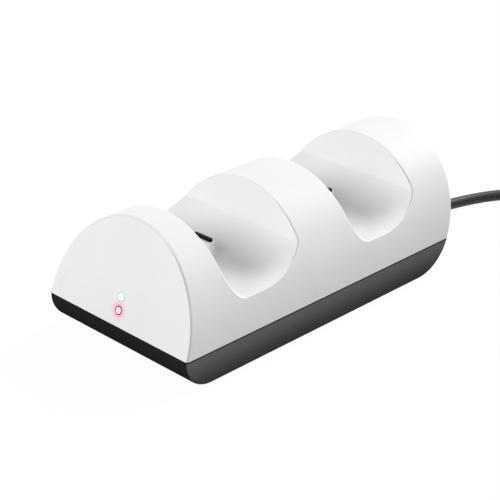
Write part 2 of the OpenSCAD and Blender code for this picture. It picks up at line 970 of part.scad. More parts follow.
// The wires of one colour: s is -1 or 1 and sets them beside the other colour
module wires(s) {
    front = board_middle - socket_y - socket_size[1] / 2;
    back = board_middle + socket_y + socket_size[1] / 2;
    low = contact_board_top - small_board_thickness;
    sideways = s * wire_spread;
    at_board = -contact_screw_x / 2;
    // To the front bay
    tube([
        [-socket_x + sideways, front, socket_middle],
        [-socket_x + sideways, front - 2.4, socket_middle],
        [-socket_x + 0.4 + sideways, front - 5.4, socket_middle + 1],
        [at_board + sideways, post_places[0] + 3, low - 2.6],
        [at_board + sideways, post_places[0] + 1.4, low - 1.2],
        [at_board + sideways, post_places[0] + 1.2, low - 0.5],
        [at_board + sideways, post_places[0] + 1.2, low]
    ], wire_radius, 8, [1, 0, 0]);
    // To the rear bay
    tube([
        [-socket_x + sideways, back, socket_middle],
        [-socket_x + sideways, back + 1.2, socket_middle],
        [-socket_x + sideways, back + 2.6, socket_middle + 1],
        [at_board + sideways, back + 3.2, low - 1.8],
        [at_board + sideways, back + 3.3, low - 0.6],
        [at_board + sideways, back + 3.3, low]
    ], wire_radius, 8, [1, 0, 0]);
    // To the lights
    board_back = light_board_place + small_board_thickness;
    inward = [0, cos(front_lean), -sin(front_lean)];
    up = [0, sin(front_lean), cos(front_lean)];
    at_lights = [sideways, 0, parting] + board_back * inward + light_wire_place * up;
    tube([
        [socket_x + sideways, front, socket_middle],
        [socket_x + sideways, front - 3.4, socket_middle],
        [socket_x - 0.6 + sideways, front - 10, socket_middle - 1.6],
        [socket_x - 2 + sideways, front - 18, socket_middle - 3.4],
        [socket_x - 4.2 + sideways, front - 27, socket_middle - 4],
        at_lights + 8 * inward + [0.5, 0, -0.5],
        at_lights + 2.4 * inward,
        at_lights + 1.2 * inward,
        at_lights
    ], wire_radius, 8, [1, 0, 0]);
    // To the lead
    tube([
        [s * 1.05, cord_start, cord_height],
        [s * 1.05, cord_start - 1.4, cord_height],
        [socket_x * 0.35 + s * 1.1, cord_start - 4.2, cord_height + 1.2],
        [socket_x * 0.8 + s * 1.2, cord_start - 6.6, socket_middle - 0.8],
        [socket_x + sideways, cord_start - 8.8, socket_middle],
        [socket_x + sideways, back + 1.2, socket_middle],
        [socket_x + sideways, back, socket_middle]
    ], wire_radius, 8, [0, 0, 1]);
}

module red_wires() {
    color("#b3262b") placed()
        wires(-1);
}

module black_wires() {
    color("#1a1a1c") placed()
        wires(1);
}

// Rubber sleeve: a flange inside the seat, a neck in the notch and a taper outside
module strain_relief() {
    color("#232326") placed()
        translate([0, 0, cord_height])
            rotate([-90, 0, 0])
                difference() {
                    union() {
                        translate([0, 0, seat_front - inner_flange])
                            cylinder(h = inner_flange, d = neck_diameter + 1.2);
                        translate([0, 0, seat_front])
                            cylinder(h = sleeve_start - seat_front, d = neck_diameter);
                        translate([0, 0, sleeve_start])
                            cylinder(h = sleeve_length, d1 = neck_diameter, d2 = sleeve_tip_diameter);
                    }
                    translate([0, 0, seat_front - inner_flange - 1])
                        cylinder(h = sleeve_length + rear_foot, d = cord_diameter);
                    for (i = [1:3])
                        translate([0, 0, sleeve_start + i * sleeve_length / 4.2])
                            rotate_extrude()
                                translate([neck_diameter / 2, 0])
                                    circle(d = 0.9, $fn = 16);
                }
}

// Bar that presses the lead onto its saddle
module cord_clamp() {
    color("#2b2b2f") placed()
        translate([0, clamp_middle, 0])
            difference() {
                translate([-clamp_screw_x, -clamp_length / 2, clamp_bottom])
                    union() {
                        cube([2 * clamp_screw_x, clamp_length, clamp_thickness]);
                        for (x = [0, 2 * clamp_screw_x])
                            translate([x, clamp_length / 2, 0])
                                cylinder(h = clamp_thickness, d = clamp_length);
                    }
                translate([0, -10, cord_height])
                    rotate([-90, 0, 0])
                        cylinder(h = 20, d = cord_diameter);
                both_sides(clamp_screw_x)
                    cylinder(h = parting + 5, d = clamp_screw_diameter + 4 * clearance, $fn = 32);
            }
}

module clamp_screws() {
    color("#b9bbbe") placed()
        translate([0, clamp_middle, clamp_bottom + clamp_thickness])
            both_sides(clamp_screw_x)
                mirror([0, 0, 1])
                    screw(clamp_screw_diameter, 4.2, 1.5, clamp_bottom + clamp_thickness - tray_floor - 0.6);
}

module cord_run() {
    entry = coil_entry_point();
    heading = [sin(coil_entry), -cos(coil_entry), 0];
    color("#2f2f31") placed()
        tube(concat(cord_points, [entry - 3 * heading, entry]), cord_radius, 12, [0, 0, 1]);
}

// Where the lead meets the stub of the coil, and where it leaves it
function coil_entry_point() =
    [coil_middle[0], coil_middle[1], cord_radius]
    + coil_outer * [cos(coil_entry), sin(coil_entry), 0]
    - stub_length * [sin(coil_entry), -cos(coil_entry), 0];
function coil_exit_point() =
    [coil_middle[0], coil_middle[1], coil_height - cord_radius]
    + coil_outer * [cos(coil_exit), sin(coil_exit), 0]
    + stub_length * [sin(coil_exit), -cos(coil_exit), 0];

// The coil's turns lie beside and on each other, a diameter apart
module cord_coil() {
    first = coil_radius - (coil_columns - 1) / 2 * cord_diameter;
    core_inset = 0.8;
    color("#2f2f31") placed()
        difference() {
            union() {
                translate([coil_middle[0], coil_middle[1], 0])
                    rotate_extrude($fn = 96) {
                        for (column = [0:coil_columns - 1], layer = [0:coil_layers - 1])
                            translate([first + column * cord_diameter, cord_radius + layer * cord_diameter])
                                circle(r = cord_radius, $fn = 32);
                        translate([first - cord_radius + core_inset, core_inset])
                            square([
                                coil_columns * cord_diameter - 2 * core_inset,
                                coil_height - 2 * core_inset
                            ]);
                    }
                translate(coil_entry_point())
                    rotate([0, 0, coil_entry - 90])
                        rotate([0, 90, 0])
                            cylinder(h = stub_length + 1, r = cord_radius - 0.15, $fn = 32);
                translate(coil_exit_point())
                    rotate([0, 0, coil_exit + 90])
                        rotate([0, 90, 0])
                            cylinder(h = stub_length + 1, r = cord_radius - 0.15, $fn = 32);
            }
            tie();
        }
}

// Rounded outline of the tie's inside (g = 0) or outside
module tie_outline(g) {
    half = tie_width / 2;
    inner = coil_radius - coil_columns * cord_radius;
    x0 = sqrt(inner * inner - half * half) - 0.1 - g;
    x1 = coil_outer + cord_radius + 0.1 + g;
    y0 = tie_strap - g;
    y1 = coil_height + 0.1 + g;
    r = tie_rounding - tie_strap + g;
    polygon(concat(
        arc([x0 + r, y0 + r], r, 180, 270),
        arc([x1 - r, y0 + r], r, 270, 360),
        arc([x1 - r, y1 - r], r, 0, 90),
        arc([x0 + r, y1 - r], r, 90, 180)
    ));
}

// Strap round the coil's turns, which give way a little under it
module tie() {
    translate([coil_middle[0], coil_middle[1], 0])
        rotate([0, 0, tie_angle])
            rotate([90, 0, 0])
                linear_extrude(tie_width, center = true)
                    difference() {
                        tie_outline(tie_strap);
                        tie_outline(0);
                    }
}

// Moves a piece from the plug's place at the end of the lead: Y runs out of the plug
module at_plug() {
    out = [sin(plug_turn), -cos(plug_turn), 0];
    start = coil_exit_point();
    translate([start[0], start[1], 0] + tail_length * out)
        rotate([0, 0, plug_turn + 180])
            children();
}

module cord_tail() {
    start = coil_exit_point();
    out = [sin(plug_turn), -cos(plug_turn), 0];
    drop = start[2] - plug_height / 2;
    color("#2f2f31") placed()
        tube([for (t = [0, 0.08, 0.25, 0.42, 0.58, 0.75, 0.92, 1])
            let (u = min(1, max(0, (t - 0.08) / 0.84)))
            start + t * tail_length * out - [0, 0, drop * (1 - cos(180 * u)) / 2]],
            cord_radius, 12, [0, 0, 1]);
}

module cord_tie() {
    color("#1b1b1d") placed()
        tie();
}

// Moulded grip of the plug, with its own tapered sleeve
module plug_body() {
    color("#2b2b2e") placed()
        at_plug()
            difference() {
                union() {
                    translate([-plug_width / 2, plug_step, 0])
                        intersection() {
                            cube([plug_width, plug_length - plug_step, plug_height]);
                            translate([plug_width / 2, plug_length / 2, plug_height / 2])
                                rotate([90, 0, 0])
                                    round_slab(plug_width, plug_height, 2, plug_length * 2);
                        }
                    translate([0, 0, plug_height / 2])
                        rotate([-90, 0, 0])
                            cylinder(h = plug_step + 0.5, d1 = cord_diameter + 1, d2 = plug_height - 1);
                }
                translate([-shell_size[0] / 2, plug_length - 4, plug_height / 2 - shell_size[2] / 2])
                    cube([shell_size[0], 5, shell_size[2]]);
                translate([0, -1, plug_height / 2])
                    rotate([-90, 0, 0])
                        cylinder(h = 1, d = cord_diameter);
            }
}

// A slab with rounded long edges, along Z
module round_slab(width, height, r, length) {
    union() {
        cube([width - 2 * r, height, length], center = true);
        cube([width, height - 2 * r, length], center = true);
        for (x = [-1, 1], y = [-1, 1])
            translate([x * (width / 2 - r), y * (height / 2 - r), 0])
                cylinder(h = length, r = r, center = true, $fn = 32);
    }
}

// Metal shell of the plug with its four latch holes
module plug_shell() {
    color("#c4c7ca") placed()
        at_plug()
            translate([0, plug_length - 4, plug_height / 2])
                difference() {
                    translate([-shell_size[0] / 2, 0, -shell_size[2] / 2])
                        cube(shell_size);
                    translate([-shell_size[0] / 2 + shell_wall, 1, -shell_size[2] / 2 + shell_wall])
                        cube([shell_size[0] - 2 * shell_wall, shell_size[1], shell_size[2] - 2 * shell_wall]);
                    both_sides(2.7)
                        translate([-1.1, shell_size[1] - 8.4, -5])
                            cube([2.2, 2.4, 10]);
                }
}

// Tongue inside the shell, in its upper half
module plug_tongue() {
    color("#e9eaec") placed()
        at_plug()
            translate([0, plug_length - 3, plug_height / 2 + shell_size[2] / 2 - shell_wall])
                mirror([0, 0, 1])
                    translate([-shell_size[0] / 2 + shell_wall, 0, 0])
                        cube([shell_size[0] - 2 * shell_wall, shell_size[1] - 1.6, tongue_thickness]);
}

// Four gilt strips under the tongue
module plug_contacts() {
    strip = 0.3;
    under = plug_height / 2 + shell_size[2] / 2 - shell_wall - tongue_thickness - strip;
    color("#d9b25a") placed()
        at_plug()
            for (i = [0:3])
                translate([(i - 1.5) * 2.2 - 0.5, plug_length - 3, under])
                    cube([1, shell_size[1] - (i == 0 || i == 3 ? 2.6 : 3.6), strip]);
}

top_cover();
base_tray();
feet();
case_screws();
upper_light_lens();
lower_light_lens();
light_board();
indicator_lights();
front_contact_post();
rear_contact_post();
front_contact_head();
rear_contact_head();
front_contact_pins();
rear_contact_pins();
front_contact_board();
rear_contact_board();
contact_board_screws();
main_board();
board_screws();
charge_chips();
control_chip();
chokes();
capacitors();
wire_sockets();
red_wires();
black_wires();
strain_relief();
cord_clamp();
clamp_screws();
cord_run();
cord_coil();
cord_tail();
cord_tie();
plug_body();
plug_shell();
plug_tongue();
plug_contacts();
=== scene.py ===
"""Looks of the charging dock for two game controllers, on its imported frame.

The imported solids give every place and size. This script gives the cover its exact
rounded skin, lays the lead in one smooth line, and gives each piece its real finish.
Lengths in the classes are millimetres, counted as in the part's source: X across, Y from
the foot of the sloping front face to the rear, Z up from the ground.
"""

import logging
import math
from dataclasses import dataclass
from enum import Enum
from typing import Callable, NamedTuple, Sequence

import bpy
import numpy as np
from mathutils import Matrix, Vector
from mathutils.geometry import delaunay_2d_cdt


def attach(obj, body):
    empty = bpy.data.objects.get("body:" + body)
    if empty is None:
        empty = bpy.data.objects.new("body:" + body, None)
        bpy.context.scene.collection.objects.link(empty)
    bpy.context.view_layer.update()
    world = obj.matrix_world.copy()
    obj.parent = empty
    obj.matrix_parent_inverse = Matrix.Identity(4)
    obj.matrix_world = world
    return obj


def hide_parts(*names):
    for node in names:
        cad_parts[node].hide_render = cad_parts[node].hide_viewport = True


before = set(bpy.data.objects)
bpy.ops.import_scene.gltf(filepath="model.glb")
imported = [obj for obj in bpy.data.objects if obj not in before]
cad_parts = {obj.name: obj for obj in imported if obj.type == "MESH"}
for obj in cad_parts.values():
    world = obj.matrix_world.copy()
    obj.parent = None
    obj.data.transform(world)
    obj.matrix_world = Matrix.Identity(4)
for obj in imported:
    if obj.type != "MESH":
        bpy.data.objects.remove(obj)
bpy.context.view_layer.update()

LOG = logging.getLogger("dock")
MM = 0.001
BODY = "root"
DOCK_LENGTH = 136.3
WHITE = (1.0, 1.0, 1.0, 1.0)
# The part of a noise's values that is stretched to the full range
NOISE_RANGE = {"From Min": 0.3, "From Max": 0.7}
# Digits of a millimetre to which points count as one, and the angle or length that counts as none
SAME_DIGITS = 4
SMALL = 1e-6
# How far points inside a filled area stay off its rim, in spacings
CLEAR_OF_RIM = 0.55

Tree = bpy.types.NodeTree
Node = bpy.types.Node
Socket = bpy.types.NodeSocket
Field = Node | Socket
Layers = list[tuple[Field, object]]
Piece = bpy.types.Object
Pair = tuple[float, float]
Triple = tuple[float, float, float]


def in_metres(point: Sequence[float]) -> Vector:
    """Move a point from the source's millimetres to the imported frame's metres."""
    return Vector((point[0] * MM, (point[1] - DOCK_LENGTH / 2) * MM, point[2] * MM))


def linear(colour: str) -> tuple[float, ...]:
    """Turn an sRGB colour, "#rrggbb", into linear red, green and blue with an alpha of 1."""
    parts = (int(colour[i : i + 2], 16) / 255 for i in (1, 3, 5))
    return *(p / 12.92 if p <= 0.04045 else ((p + 0.055) / 1.055) ** 2.4 for p in parts), 1.0


def add_node(tree: Tree, kind: str, inputs: dict | None = None, **settings: object) -> Node:
    """Add one node with its settings and what feeds it.

    Args:
        tree: The tree that takes the node.
        kind: Blender's name of the node type.
        inputs: Values, output sockets or nodes by input name or number; a node gives its first output.
        settings: The node's own properties.

    Returns:
        The new node.
    """
    node = tree.nodes.new(kind)
    for name, value in settings.items():
        setattr(node, name, value)
    for name, value in (inputs or {}).items():
        source = value.outputs[0] if isinstance(value, Node) else value
        if isinstance(source, Socket):
            tree.links.new(source, node.inputs[name])
        else:
            node.inputs[name].default_value = source
    return node


def fresh_tree(block: bpy.types.Material | bpy.types.World) -> Tree:
    """Give a material or world an empty tree."""
    block.use_nodes = True
    block.node_tree.nodes.clear()
    return block.node_tree


class Relief(Enum):
    """How a surface was made, which sets the form of its fine relief."""

    POLISHED = "polished mould"
    GRAINED = "grained mould, pressed or extruded skin"
    DRAWN = "drawn or rolled"


@dataclass(frozen=True)
class Finish:
    """A material as it is made, with what it gives the eye.

    Grain, depth and cloud are real sizes in millimetres. Spread is how far the roughness
    varies, gloss the share of the surface's mirror light, and draw the scale of a drawn
    grain along its length.
    """

    name: str
    nodes: tuple[str, ...]
    colour: str
    shade: str
    relief: Relief
    grain: float
    depth: float
    roughness: float
    gloss: float = 0.5
    ior: float = 1.53
    metallic: float = 0.0
    spread: float = 0.06
    cloud: float = 18.0
    draw: float = 0.06

    def grain_field(self, tree: Tree, place: Socket) -> Node:
        """Draw the fine relief at its real size.

        Args:
            tree: The material's tree.
            place: Coordinates in metres.

        Returns:
            A height from 0 to 1.
        """
        stretch = (1.0, self.draw if self.relief is Relief.DRAWN else 1.0, 1.0)
        spot = add_node(tree, "ShaderNodeMapping", {"Vector": place, "Scale": stretch})
        detail = 1.0 if self.relief is Relief.POLISHED else 3.0
        grain = {"Vector": spot, "Scale": 1 / (2 * self.grain * MM), "Detail": detail, "Roughness": 0.55}
        return add_node(tree, "ShaderNodeTexNoise", grain)

    def step(self, tree: Tree, value: Field, start: float, end: float) -> Node:
        """Rise softly from 0 at the start value to 1 at the end value."""
        limits = {"Value": value, "From Min": start, "From Max": end}
        return add_node(tree, "ShaderNodeMapRange", limits, interpolation_type="SMOOTHSTEP")

    def layers(self, tree: Tree, place: Socket) -> Layers:
        """Vary the colour softly towards its second tone, as pigment and dust do.

        Args:
            tree: The material's tree.
            place: Coordinates in metres.

        Returns:
            The share and colour of each layer that lies over the main colour.
        """
        cloud = {"Vector": place, "Scale": 1 / (self.cloud * MM), "Detail": 4.0, "Roughness": 0.6}
        clouds = add_node(tree, "ShaderNodeTexNoise", cloud)
        share = add_node(tree, "ShaderNodeMapRange", {"Value": clouds, **NOISE_RANGE})
        return [(share, linear(self.shade))]

    def colour_field(self, tree: Tree, place: Socket) -> Socket:
        """Lay the layers over the main colour."""
        colour = linear(self.colour)
        for share, over in self.layers(tree, place):
            inputs = {"Factor": share, 6: colour, 7: over}
            colour = add_node(tree, "ShaderNodeMix", inputs, data_type="RGBA").outputs[2]
        return colour

    def own_light(self, tree: Tree, place: Socket) -> dict[str, object]:
        """Give the shader's inputs for light of the surface's own; a plain finish has none."""
        return {}

    def build(self) -> bpy.types.Material:
        """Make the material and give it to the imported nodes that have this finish.

        Returns:
            The finished material.
        """
        material = bpy.data.materials.new(self.name)
        material.diffuse_color = linear(self.colour)
        tree = fresh_tree(material)
        place = add_node(tree, "ShaderNodeTexCoord").outputs["Object"]
        height = self.grain_field(tree, place)
        limits = {"To Min": self.roughness - self.spread, "To Max": self.roughness + self.spread}
        rough = add_node(tree, "ShaderNodeMapRange", {"Value": height, **NOISE_RANGE, **limits})
        relief = {"Height": height, "Distance": self.depth * MM, "Strength": 1.0}
        looks = {
            "Base Color": self.colour_field(tree, place),
            "Roughness": rough,
            "Normal": add_node(tree, "ShaderNodeBump", relief),
            "IOR": self.ior,
            "Metallic": self.metallic,
            "Specular IOR Level": self.gloss,
            **self.own_light(tree, place),
        }
        shader = add_node(tree, "ShaderNodeBsdfPrincipled", looks)
        add_node(tree, "ShaderNodeOutputMaterial", {"Surface": shader})
        for node in self.nodes:
            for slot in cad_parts[node].material_slots:
                slot.material = material
            LOG.info("node %s: %s", node, self.name)
        return material


@dataclass(frozen=True)
class FrontFinish(Finish):
    """A finish that changes round an axis on the sloping front face, up from the parting line."""

    up: float = 5.3
    lean: float = 18.6
    parting: float = 11.7

    def reach(self, tree: Tree, place: Socket) -> Socket:
        """Measure the distance from the axis.

        Args:
            tree: The material's tree.
            place: Coordinates in metres.

        Returns:
            The distance in metres.
        """
        lean = math.radians(self.lean)
        middle = in_metres((0, self.up * math.sin(lean), self.parting + self.up * math.cos(lean)))
        axis = (0.0, math.cos(lean), -math.sin(lean))
        arm = add_node(tree, "ShaderNodeVectorMath", {0: place, 1: middle}, operation="SUBTRACT")
        spoke = add_node(tree, "ShaderNodeVectorMath", {0: arm, 1: axis}, operation="CROSS_PRODUCT")
        return add_node(tree, "ShaderNodeVectorMath", {0: spoke}, operation="LENGTH").outputs["Value"]


@dataclass(frozen=True)
class LitWindow(FrontFinish):
    """A clear light window with its lamp on: a glowing core inside a darker moulded ring."""

    core: Pair = (0.95, 1.25)
    strength: float = 0.75

    def layers(self, tree: Tree, place: Socket) -> Layers:
        """Lay the ring round the core."""
        near, far = self.core
        return [(self.step(tree, self.reach(tree, place), near * MM, far * MM), linear(self.shade))]

    def own_light(self, tree: Tree, place: Socket) -> dict[str, object]:
        """Let the window glow in its own colours."""
        return {"Emission Color": self.colour_field(tree, place), "Emission Strength": self.strength}


@dataclass(frozen=True)
class CoverFinish(FrontFinish):
    """The cover's white plastic, with the lower light window's light painted round it.

    A grey line of painted shade runs along the right of the edges that look forwards, and the
    edges that look backwards carry a painted highlight. Both are told by their distance from the
    arch's axis and by the surface normal's Y.
    """

    # Painted light of the lower window: a painted pink halo in the colour and a faint painted glow
    painted_halo: str = "#f6b9c4"
    painted_halo_reach: Pair = (1.2, 3.9)
    glow: str = "#ff5060"
    painted_glow_strength: float = 0.12
    # Painted shade: a grey line on the rounded forward edges, where less light falls
    line: str = "#bcbcbe"
    painted_shade_reach: float = 32.7
    painted_shade_turn: Pair = (-0.3, -0.6)
    painted_shade_aside: Pair = (12.0, 24.0)
    # Painted highlight on the rounded backward edges
    glint: str = "#fdfdfd"
    glint_reach: float = 32.9
    glint_turn: Pair = (0.1, 0.35)
    edge_width: Pair = (0.1, 0.3)
    section_z: float = 11.9

    def edge_share(self, tree: Tree, axes: Node, reach: float, turn: Pair) -> Node:
        """Find the moulded edges, a hair's breadth inside the arch's radius.

        Args:
            tree: The material's tree.
            axes: The node that gives the place's X, Y and Z.
            reach: The line's distance from the arch's axis in millimetres.
            turn: The normal's Y at which the share is 0 and 1.

        Returns:
            The share.
        """
        drop = {0: axes.outputs["Z"], 1: self.section_z * MM}
        rise = add_node(tree, "ShaderNodeMath", drop, operation="SUBTRACT")
        above = add_node(tree, "ShaderNodeMath", {0: rise, 1: 0.0}, operation="MAXIMUM")
        arm = add_node(tree, "ShaderNodeCombineXYZ", {"X": axes.outputs["X"], "Z": above})
        length = add_node(tree, "ShaderNodeVectorMath", {0: arm}, operation="LENGTH").outputs["Value"]
        off = add_node(tree, "ShaderNodeMath", {0: length, 1: reach * MM}, operation="SUBTRACT")
        aside = add_node(tree, "ShaderNodeMath", {0: off}, operation="ABSOLUTE")
        near, far = self.edge_width
        band = self.step(tree, aside, far * MM, near * MM)
        normal = add_node(tree, "ShaderNodeTexCoord").outputs["Normal"]
        facing = add_node(tree, "ShaderNodeSeparateXYZ", {0: normal}).outputs["Y"]
        faced = self.step(tree, facing, *turn)
        return add_node(tree, "ShaderNodeMath", {0: band, 1: faced}, operation="MULTIPLY")

    def painted_halo_share(self, tree: Tree, place: Socket) -> Node:
        """Give the painted halo's share: 1 at the lower window, fading to 0 a few millimetres off."""
        near, far = self.painted_halo_reach
        return self.step(tree, self.reach(tree, place), far * MM, near * MM)

    def layers(self, tree: Tree, place: Socket) -> Layers:
        """Paint the lower window's halo round it, painted shade along the forward edges and painted
        highlights on the backward edges.
        """
        axes = add_node(tree, "ShaderNodeSeparateXYZ", {0: place})
        # Painted shade along the forward edges, on the right side only
        begin, full = self.painted_shade_aside
        right = self.step(tree, axes.outputs["X"], begin * MM, full * MM)
        forwards = self.edge_share(tree, axes, self.painted_shade_reach, self.painted_shade_turn)
        line = add_node(tree, "ShaderNodeMath", {0: forwards, 1: right}, operation="MULTIPLY")
        return [
            *super().layers(tree, place),
            (self.painted_halo_share(tree, place), linear(self.painted_halo)),
            (line, linear(self.line)),
            # Painted highlight along the backward edges
            (self.edge_share(tree, axes, self.glint_reach, self.glint_turn), linear(self.glint)),
        ]

    def own_light(self, tree: Tree, place: Socket) -> dict[str, object]:
        """Let the white plastic round the lower window glow faintly: painted light, as the plastic is no
        lamp.
        """
        tones = {"Factor": self.painted_halo_share(tree, place), 6: linear("#000000"), 7: linear(self.glow)}
        glow = add_node(tree, "ShaderNodeMix", tones, data_type="RGBA")
        return {"Emission Color": glow.outputs[2], "Emission Strength": self.painted_glow_strength}


@dataclass(frozen=True)
class TrayFinish(Finish):
    """The tray's black plastic, lighter on its two long flanks by painted light: painted shade
    at their foot and a painted sheen at their top.
    """

    # Painted light on the long flanks: painted shade at the foot, a painted sheen at the top
    painted_flank_shade: str = "#424145"
    painted_flank_sheen: str = "#6a696d"
    foot: float = 1.0
    parting: float = 11.7
    half_width: float = 33.0
    painted_flank_fade: Pair = (0.7, 0.1)
    # Painted shadow of the gap under the cover: the flank's painted light fades out below the parting
    # line
    painted_gap_shadow_fade: Pair = (0.2, 0.5)

    def layers(self, tree: Tree, place: Socket) -> Layers:
        """Paint light on the flanks, from painted shade at the foot to a painted sheen at the top, and
        paint the gap's shadow as a black band under the parting line.
        """
        axes = add_node(tree, "ShaderNodeSeparateXYZ", {0: place})
        high = axes.outputs["Z"]
        aside = add_node(tree, "ShaderNodeMath", {0: axes.outputs["X"]}, operation="ABSOLUTE")
        # Where the flanks carry their painted light
        flank = self.step(tree, aside, *((self.half_width - d) * MM for d in self.painted_flank_fade))
        # Painted shadow of the gap: no flank light just under the parting line
        under = self.step(tree, high, *((self.parting - d) * MM for d in self.painted_gap_shadow_fade))
        share = add_node(tree, "ShaderNodeMath", {0: flank, 1: under}, operation="MULTIPLY")
        # Painted shade at the foot rising to a painted sheen at the top
        rise = self.step(tree, high, self.foot * MM, self.parting * MM)
        tones = {"Factor": rise, 6: linear(self.painted_flank_shade), 7: linear(self.painted_flank_sheen)}
        painted_flank_tone = add_node(tree, "ShaderNodeMix", tones, data_type="RGBA")
        return [*super().layers(tree, place), (share, painted_flank_tone.outputs[2])]


# White ABS from a finely blasted mould: an even, bright skin with a broad soft sheen
# Its colour also carries painted light: the lower window's halo and glow, painted shade on the forward
# edges, painted highlights on the backward ones
COVER_ABS = CoverFinish(
    "white_moulded_abs", ("top_cover",), "#ebebec", "#e8e8ea", Relief.POLISHED, 0.45, 0.004, 0.5, 0.15
)
# Soft PVC, extruded over the wires: dark grey and satin
LEAD_PVC = Finish("grey_lead_pvc", (), "#343437", "#2d2d30", Relief.GRAINED, 0.8, 0.02, 0.4, 0.3)
FINISHES: tuple[Finish, ...] = (
    COVER_ABS,
    # Black ABS from a spark-eroded mould: nearly black and matt, with a fine grain
    TrayFinish(
        "black_grained_abs", ("base_tray", "cord_clamp"),
        "#262629", "#222225", Relief.GRAINED, 0.3, 0.02, 0.5, 0.0,
    ),
    # Clear polycarbonate over a lit lamp: near white with a breath of teal, in a grey ring
    LitWindow(
        "lit_clear_polycarbonate", ("upper_light_lens",),
        "#effffd", "#93a5a5", Relief.POLISHED, 0.3, 0.002, 0.18, ior=1.585, up=9.8,
    ),
    # The same over a red lamp: the core burns out to white and the colour stays in the ring
    LitWindow(
        "lit_red_polycarbonate", ("lower_light_lens",),
        "#fff4f6", "#8c1a36", Relief.POLISHED, 0.3, 0.002, 0.18, ior=1.585, core=(0.86, 1.1),
    ),
    # Nitrile rubber, pressed: dull and a little chalky
    Finish("pressed_rubber", ("feet",), "#323234", "#2a2a2c", Relief.GRAINED, 0.4, 0.02, 0.75, ior=1.52),
    # Zinc-plated steel, cold headed: bluish grey with a soft metal shine
    Finish(
        "zinc_plated_steel", ("case_screws", "board_screws", "contact_board_screws", "clamp_screws"),
        "#9b9ea2", "#8b8e92", Relief.DRAWN, 0.2, 0.004, 0.32, ior=1.5, metallic=1.0,
    ),
    # Epoxy glass board under green solder mask: a smooth green lacquer
    Finish(
        "masked_epoxy_glass", ("light_board", "main_board", "front_contact_board", "rear_contact_board"),
        "#1f5a3a", "#1a4d33", Relief.POLISHED, 0.4, 0.006, 0.3,
    ),
    # Ceramic chip carrier with a pale phosphor: cream and matt
    Finish("phosphor_chip", ("indicator_lights",), "#f1ecd2", "#e6dfba", Relief.GRAINED, 0.2, 0.004, 0.5),
    # White ABS again, moulded on its own: a touch brighter and glossier than the cover
    Finish(
        "white_post_abs", ("front_contact_post", "rear_contact_post"),
        "#f0f0f2", "#eaeaec", Relief.POLISHED, 0.35, 0.004, 0.34,
    ),
    # Black glass-filled nylon: a deep black, matt block
    Finish(
        "black_filled_nylon", ("front_contact_head", "rear_contact_head"),
        "#0b0b0d", "#08080a", Relief.GRAINED, 0.2, 0.008, 0.5, 0.05,
    ),
    # Gold over nickel on phosphor bronze, stamped: a warm, clear shine
    Finish(
        "gilt_bronze", ("front_contact_pins", "rear_contact_pins", "plug_contacts"),
        "#d9b25a", "#cfa64c", Relief.DRAWN, 0.1, 0.002, 0.25, ior=1.5, metallic=1.0,
    ),
    # Moulded epoxy of a chip's case: matt grey-black
    Finish(
        "chip_epoxy", ("charge_chips", "control_chip"),
        "#202124", "#18191b", Relief.GRAINED, 0.2, 0.01, 0.55,
    ),
    # Pressed ferrite: dark grey and dry
    Finish("pressed_ferrite", ("chokes",), "#4a4a4e", "#3d3d41", Relief.GRAINED, 0.3, 0.015, 0.65),
    # Drawn aluminium can: light grey with a soft metal shine
    Finish(
        "drawn_aluminium", ("capacitors",),
        "#cfd2d6", "#c2c5c9", Relief.DRAWN, 0.15, 0.003, 0.3, ior=1.5, metallic=1.0,
    ),
    # Natural nylon of the sockets: ivory and waxy
    Finish("ivory_nylon", ("wire_sockets",), "#ece9df", "#e3dfd2", Relief.POLISHED, 0.3, 0.004, 0.42),
    # PVC covers of the wires: clear red and black with a satin skin
    Finish("red_pvc", ("red_wires",), "#b3262b", "#a01f25", Relief.GRAINED, 0.5, 0.01, 0.35),
    Finish("black_pvc", ("black_wires",), "#1c1c1e", "#151517", Relief.GRAINED, 0.5, 0.01, 0.35),
    # Thermoplastic rubber of the sleeve: soft black and dull
    Finish("sleeve_rubber", ("strain_relief",), "#232326", "#1d1d20", Relief.GRAINED, 0.35, 0.015, 0.55),
    # Nylon strap of the tie: black and matt, with a coarse grain
    Finish("strap_nylon", ("cord_tie",), "#1b1b1d", "#141416", Relief.GRAINED, 0.5, 0.04, 0.7),
    # Over-moulded PVC of the plug's grip: dark grey with a matt grain
    Finish("plug_pvc", ("plug_body",), "#2b2b2e", "#242427", Relief.GRAINED, 0.4, 0.02, 0.5),
    # Nickel-plated steel of the plug's shell: bright, warm grey metal
    Finish(
        "nickel_plated_steel", ("plug_shell",),
        "#c9cbce", "#bcbec1", Relief.DRAWN, 0.2, 0.003, 0.22, ior=1.5, metallic=1.0,
    ),
    # White nylon of the plug's tongue: smooth and a little waxy
    Finish("tongue_nylon", ("plug_tongue",), "#e9eaec", "#dfe0e3", Relief.POLISHED, 0.3, 0.004, 0.4),
)


def turned(angle: float) -> Pair:
    """Give the cosine and sine of an angle in degrees."""
    return math.cos(math.radians(angle)), math.sin(math.radians(angle))


def add_piece(name: str, data: bpy.types.ID) -> Piece:
    """Put new data into the scene.

    Args:
        name: The object's name.
        data: A mesh, curve, lamp or camera.

    Returns:
        The object that holds the data.
    """
    piece = bpy.data.objects.new(name, data)
    bpy.context.scene.collection.objects.link(piece)
    return piece


class Corner(NamedTuple):
    """A point of a surface with its outward normal, and its place in a flat drawing."""

    point: Triple
    normal: Triple
    flat: Pair = (0.0, 0.0)

    def drawn_at(self, u: float, v: float) -> "Corner":
        """Give the same corner a place in a drawing."""
        return self._replace(flat=(u, v))


Loop = list[Corner]


